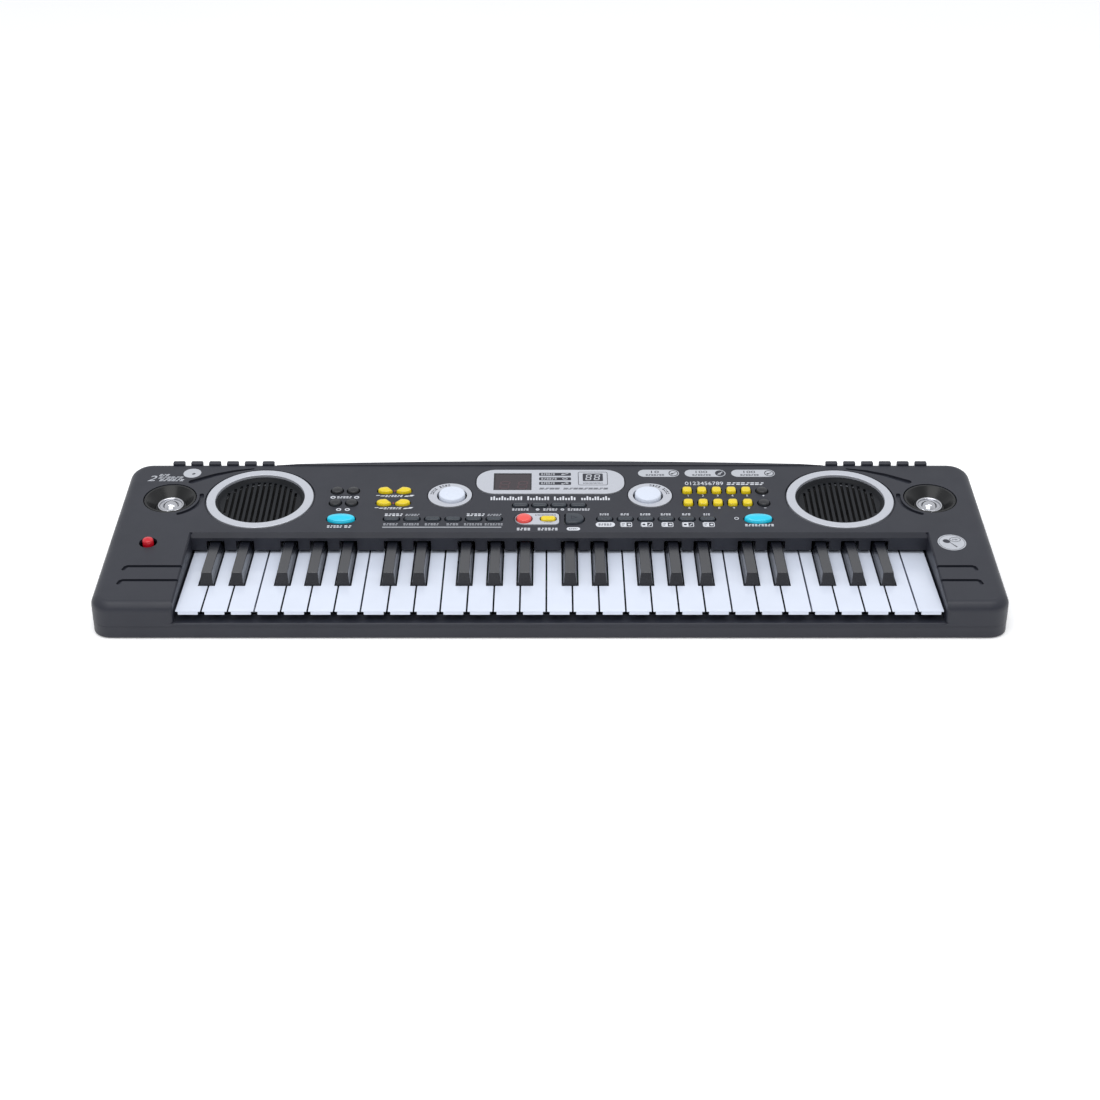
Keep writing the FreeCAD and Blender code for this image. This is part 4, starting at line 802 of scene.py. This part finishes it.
def badge_marks():
    """Three silver badges at the rear, each with a numeral, a fine line and an oval."""
    plates = Print()
    marks = Print(INK)
    light = Print(2 * INK)
    low, high = extent("display_plate")
    v = high.y - 4.3
    badges = ((10.8, 41.3, "10"), (45.5, 76.0, "100"), (80.3, 112.7, "100"))
    for index, (start, end, number) in enumerate(badges):
        x0, x1 = high.x + start, high.x + end
        half = (x1 - x0) / 2
        plates.shape(rounded(x0 + half, v, half, 5.0, 4.9, 10))
        middle = x0 + half - 2.6
        marks.text(number, middle, v + 1.8, 3.2, 2.9 * len(number))
        marks.word(middle - 7.0, middle + 7.0, v - 2.5, 1.9, 0.0, 0.9)
        icon_x = x1 - 4.2
        if index == 1:
            marks.dot(icon_x, v, 3.6, 4.0)
            light.stroke((icon_x - 1.8, v - 1.9), (icon_x + 1.9, v + 1.9), 0.9)
            light.dot(icon_x - 0.4, v - 0.9, 1.1)
        else:
            marks.loop(icon_x, v, 3.6, 4.0, 0.7)
            marks.stroke((icon_x - 1.7, v - 0.9), (icon_x + 1.7, v + 0.9), 0.8)
            marks.dot(icon_x - 1.2, v - 0.9, 0.9)
    plates.done("count_badges", "ink_silver")
    marks.done("count_badge_marks", "ink_dark")
    light.done("count_badge_icon", "ink_silver")


def number_marks():
    """Digits under the number buttons, signs at the step buttons and the heading above."""
    ink = Print()
    buttons = spots("number_buttons")
    for spot, digit in zip(buttons, "1234567890"):
        ink.text(digit, spot.x + 0.5, spot.v - 6.3, 2.5)
    upper, lower = spots("step_buttons")
    ink.plus(upper.x + 0.6, upper.v - 6.3, 0.9, 0.6)
    ink.bar(lower.x - 0.3, lower.x + 1.4, lower.v - 6.4, 0.6, 0.1)
    heading = buttons[0].v + 10.6
    ink.text("0123456789", buttons[0].x + 13.2, heading, 4.6, 28.2)
    ink.word(buttons[0].x + 30.1, buttons[0].x + 57.8, heading - 0.4, 3.4, 0.15, 0.8)
    oval = spots("tone_rhythm_button")[0]
    ink.word(oval.x - 10.1, oval.x + 10.9, oval.v - 7.9, LABEL + 0.3)
    ink.loop(oval.x - 15.6, oval.v + 1.0, 1.6, 1.7, 0.5)
    ink.done("number_legends", "ink_light")


def disc_marks():
    """Arc of small marks on the rear of each silver disc."""
    for name, start in (("demo_one_button", 172), ("demo_all_button", 86)):
        button = spots(name)[0]
        discs = [Spot(points) for points in solids("demo_discs")]
        disc = min(discs, key=lambda spot: abs(spot.x - button.x))
        marks = Print(disc.top)
        radius = disc.half_w - 2.7
        for index in range(9):
            if index == 4:
                continue
            angle = math.radians(start - 9.6 * index)
            outward = Vector((math.cos(angle), math.sin(angle)))
            across = Vector((-outward.y, outward.x))
            place = Vector((disc.x, disc.v)) + radius * outward
            for level in (-0.8, 0.8):
                middle = place + outward * level
                marks.stroke(middle - across * 0.75, middle + across * 0.75, 0.7)
            if index % 2:
                marks.stroke(place - outward * 0.8, place + outward * 0.8, 0.6)
        marks.done(name + "_arc_marks", "ink_dark")


def speaker_marks():
    """Numeral, three lines of dashes and a blob behind the left tweeter."""
    ink = Print()
    cut = Print(INK)
    cups = [Spot(points, -1.0) for points in solids("tweeter_cups")]
    cup = min(cups, key=lambda spot: spot.x)
    ink.text("2", cup.x - 17.4, cup.v + 27.3, 7.4, 6.6, 0.3)
    for start, end, rise in ((-12.6, -5.0, 32.0), (-12.6, 5.6, 28.4), (-11.6, 6.6, 24.8)):
        ink.word(cup.x + start, cup.x + end, cup.v + rise, 2.6, 0.4, 0.9)
    ink.shape(ellipse(cup.x + 11.2, cup.v + 34.6, 6.6, 6.3, 32, 0.35))
    cut.shape(ellipse(cup.x + 12.4, cup.v + 33.6, 1.4, 0.9, 16, 0.5))
    ink.done("speaker_legend", "ink_silver")
    cut.done("speaker_legend_slot", "ink_dark")


def sticker():
    """Round silver sticker with a simple microphone on the right cheek."""
    power = spots("power_button")[0]
    x, v = -power.x, power.v
    disc = Print(INK)
    disc.shape(ellipse(x, v, 10.0, 10.0, 56))
    disc.done("microphone_sticker", "ink_silver")
    marks = Print(2 * INK)
    marks.loop(x, v, 9.2, 9.2, 0.25)
    marks.shape(ellipse(x - 3.6, v + 1.6, 2.7, 2.3, 24, -0.6))
    marks.shape([(x - 2.2, v + 1.0), (x - 1.2, v + 0.1), (x + 3.2, v - 5.6), (x + 2.4, v - 6.2)])
    marks.loop(x + 2.8, v + 3.6, 4.0, 2.9, 0.4)
    marks.word(x + 0.9, x + 4.7, v + 3.6, 1.3)
    marks.done("microphone_sticker_marks", "ink_dark")


# ---------------------------------------------------------------- stage

FLOOR_REACH = 6.0
FLOOR_GLOW = 0.18
CAMERA_PLACE = (0.0, -1.2685, 0.694)
CAMERA_TILT = 62.0
CAMERA_LENS = 65.45


def build_stage():
    """Pale floor, pale surroundings and soft lights."""
    work = bmesh.new()
    bmesh.ops.create_grid(work, x_segments=4, y_segments=4, size=FLOOR_REACH)
    mesh = bpy.data.meshes.new("floor")
    work.to_mesh(mesh)
    work.free()
    floor_finish = Finish("floor_paper", (0.96, 0.96, 0.96, 1.0), 0.9, 0.0, 0.1).mottle(0.01, 3.0)
    floor_finish.shader.inputs["Emission Color"].default_value = (1.0, 1.0, 1.0, 1.0)
    floor_finish.shader.inputs["Emission Strength"].default_value = FLOOR_GLOW
    mesh.materials.append(floor_finish.material)
    floor = bpy.data.objects.new("floor", mesh)
    bpy.context.scene.collection.objects.link(floor)

    build_world()
    add_light("key", (-0.25, -1.2, 1.55), 13.5, 1.6)
    add_light("strip", (0.0, -0.15, 2.0), 12, 2.2, 0.3)


def build_world():
    """Pale surroundings, brightest behind and above, and darkest low down at the front."""
    world = bpy.data.worlds.new("studio")
    world.use_nodes = True
    nodes, links = world.node_tree.nodes, world.node_tree.links
    direction = nodes.new("ShaderNodeTexCoord").outputs["Generated"]
    towards = nodes.new("ShaderNodeVectorMath")
    towards.operation = "DOT_PRODUCT"
    towards.inputs[1].default_value = (0.0, 0.8, 0.6)
    shade = nodes.new("ShaderNodeMapRange")
    shade.inputs["From Min"].default_value = -0.9
    shade.inputs["From Max"].default_value = 0.3
    shade.inputs["To Min"].default_value = 0.15
    shade.inputs["To Max"].default_value = 0.83
    links.new(direction, towards.inputs[0])
    links.new(towards.outputs["Value"], shade.inputs["Value"])
    background = nodes["Background"]
    background.inputs["Color"].default_value = (0.96, 0.975, 1.0, 1.0)
    links.new(shade.outputs["Result"], background.inputs["Strength"])
    bpy.context.scene.world = world


def add_light(name, place, power, size, height=None):
    """Soft light that looks at the origin, square unless it has a height of its own."""
    lamp = bpy.data.lights.new(name, "AREA")
    lamp.shape = "RECTANGLE"
    lamp.size = size
    lamp.size_y = height or size
    lamp.energy = power
    holder = bpy.data.objects.new(name, lamp)
    holder.location = place
    holder.rotation_euler = (-Vector(place)).to_track_quat("-Z", "Y").to_euler()
    bpy.context.scene.collection.objects.link(holder)


def build_camera():
    """Camera in front of the middle of the keyboard, looking down at it."""
    lens = bpy.data.cameras.new("camera")
    lens.sensor_width = 36.0
    lens.lens = CAMERA_LENS
    lens.clip_start = 0.05
    lens.clip_end = 30.0
    camera = bpy.data.objects.new("camera", lens)
    camera.location = CAMERA_PLACE
    camera.rotation_euler = (math.radians(CAMERA_TILT), 0.0, 0.0)
    bpy.context.scene.collection.objects.link(camera)
    bpy.context.scene.camera = camera
    bpy.context.scene.view_settings.view_transform = "Standard"


button_caps()
chord_marks()
volume_marks()
pill_row_marks()
equaliser_marks()
display_marks()
window_details()
record_marks()
play_triangle()
sound_marks()
badge_marks()
number_marks()
disc_marks()
speaker_marks()
sticker()
build_camera()
build_stage()
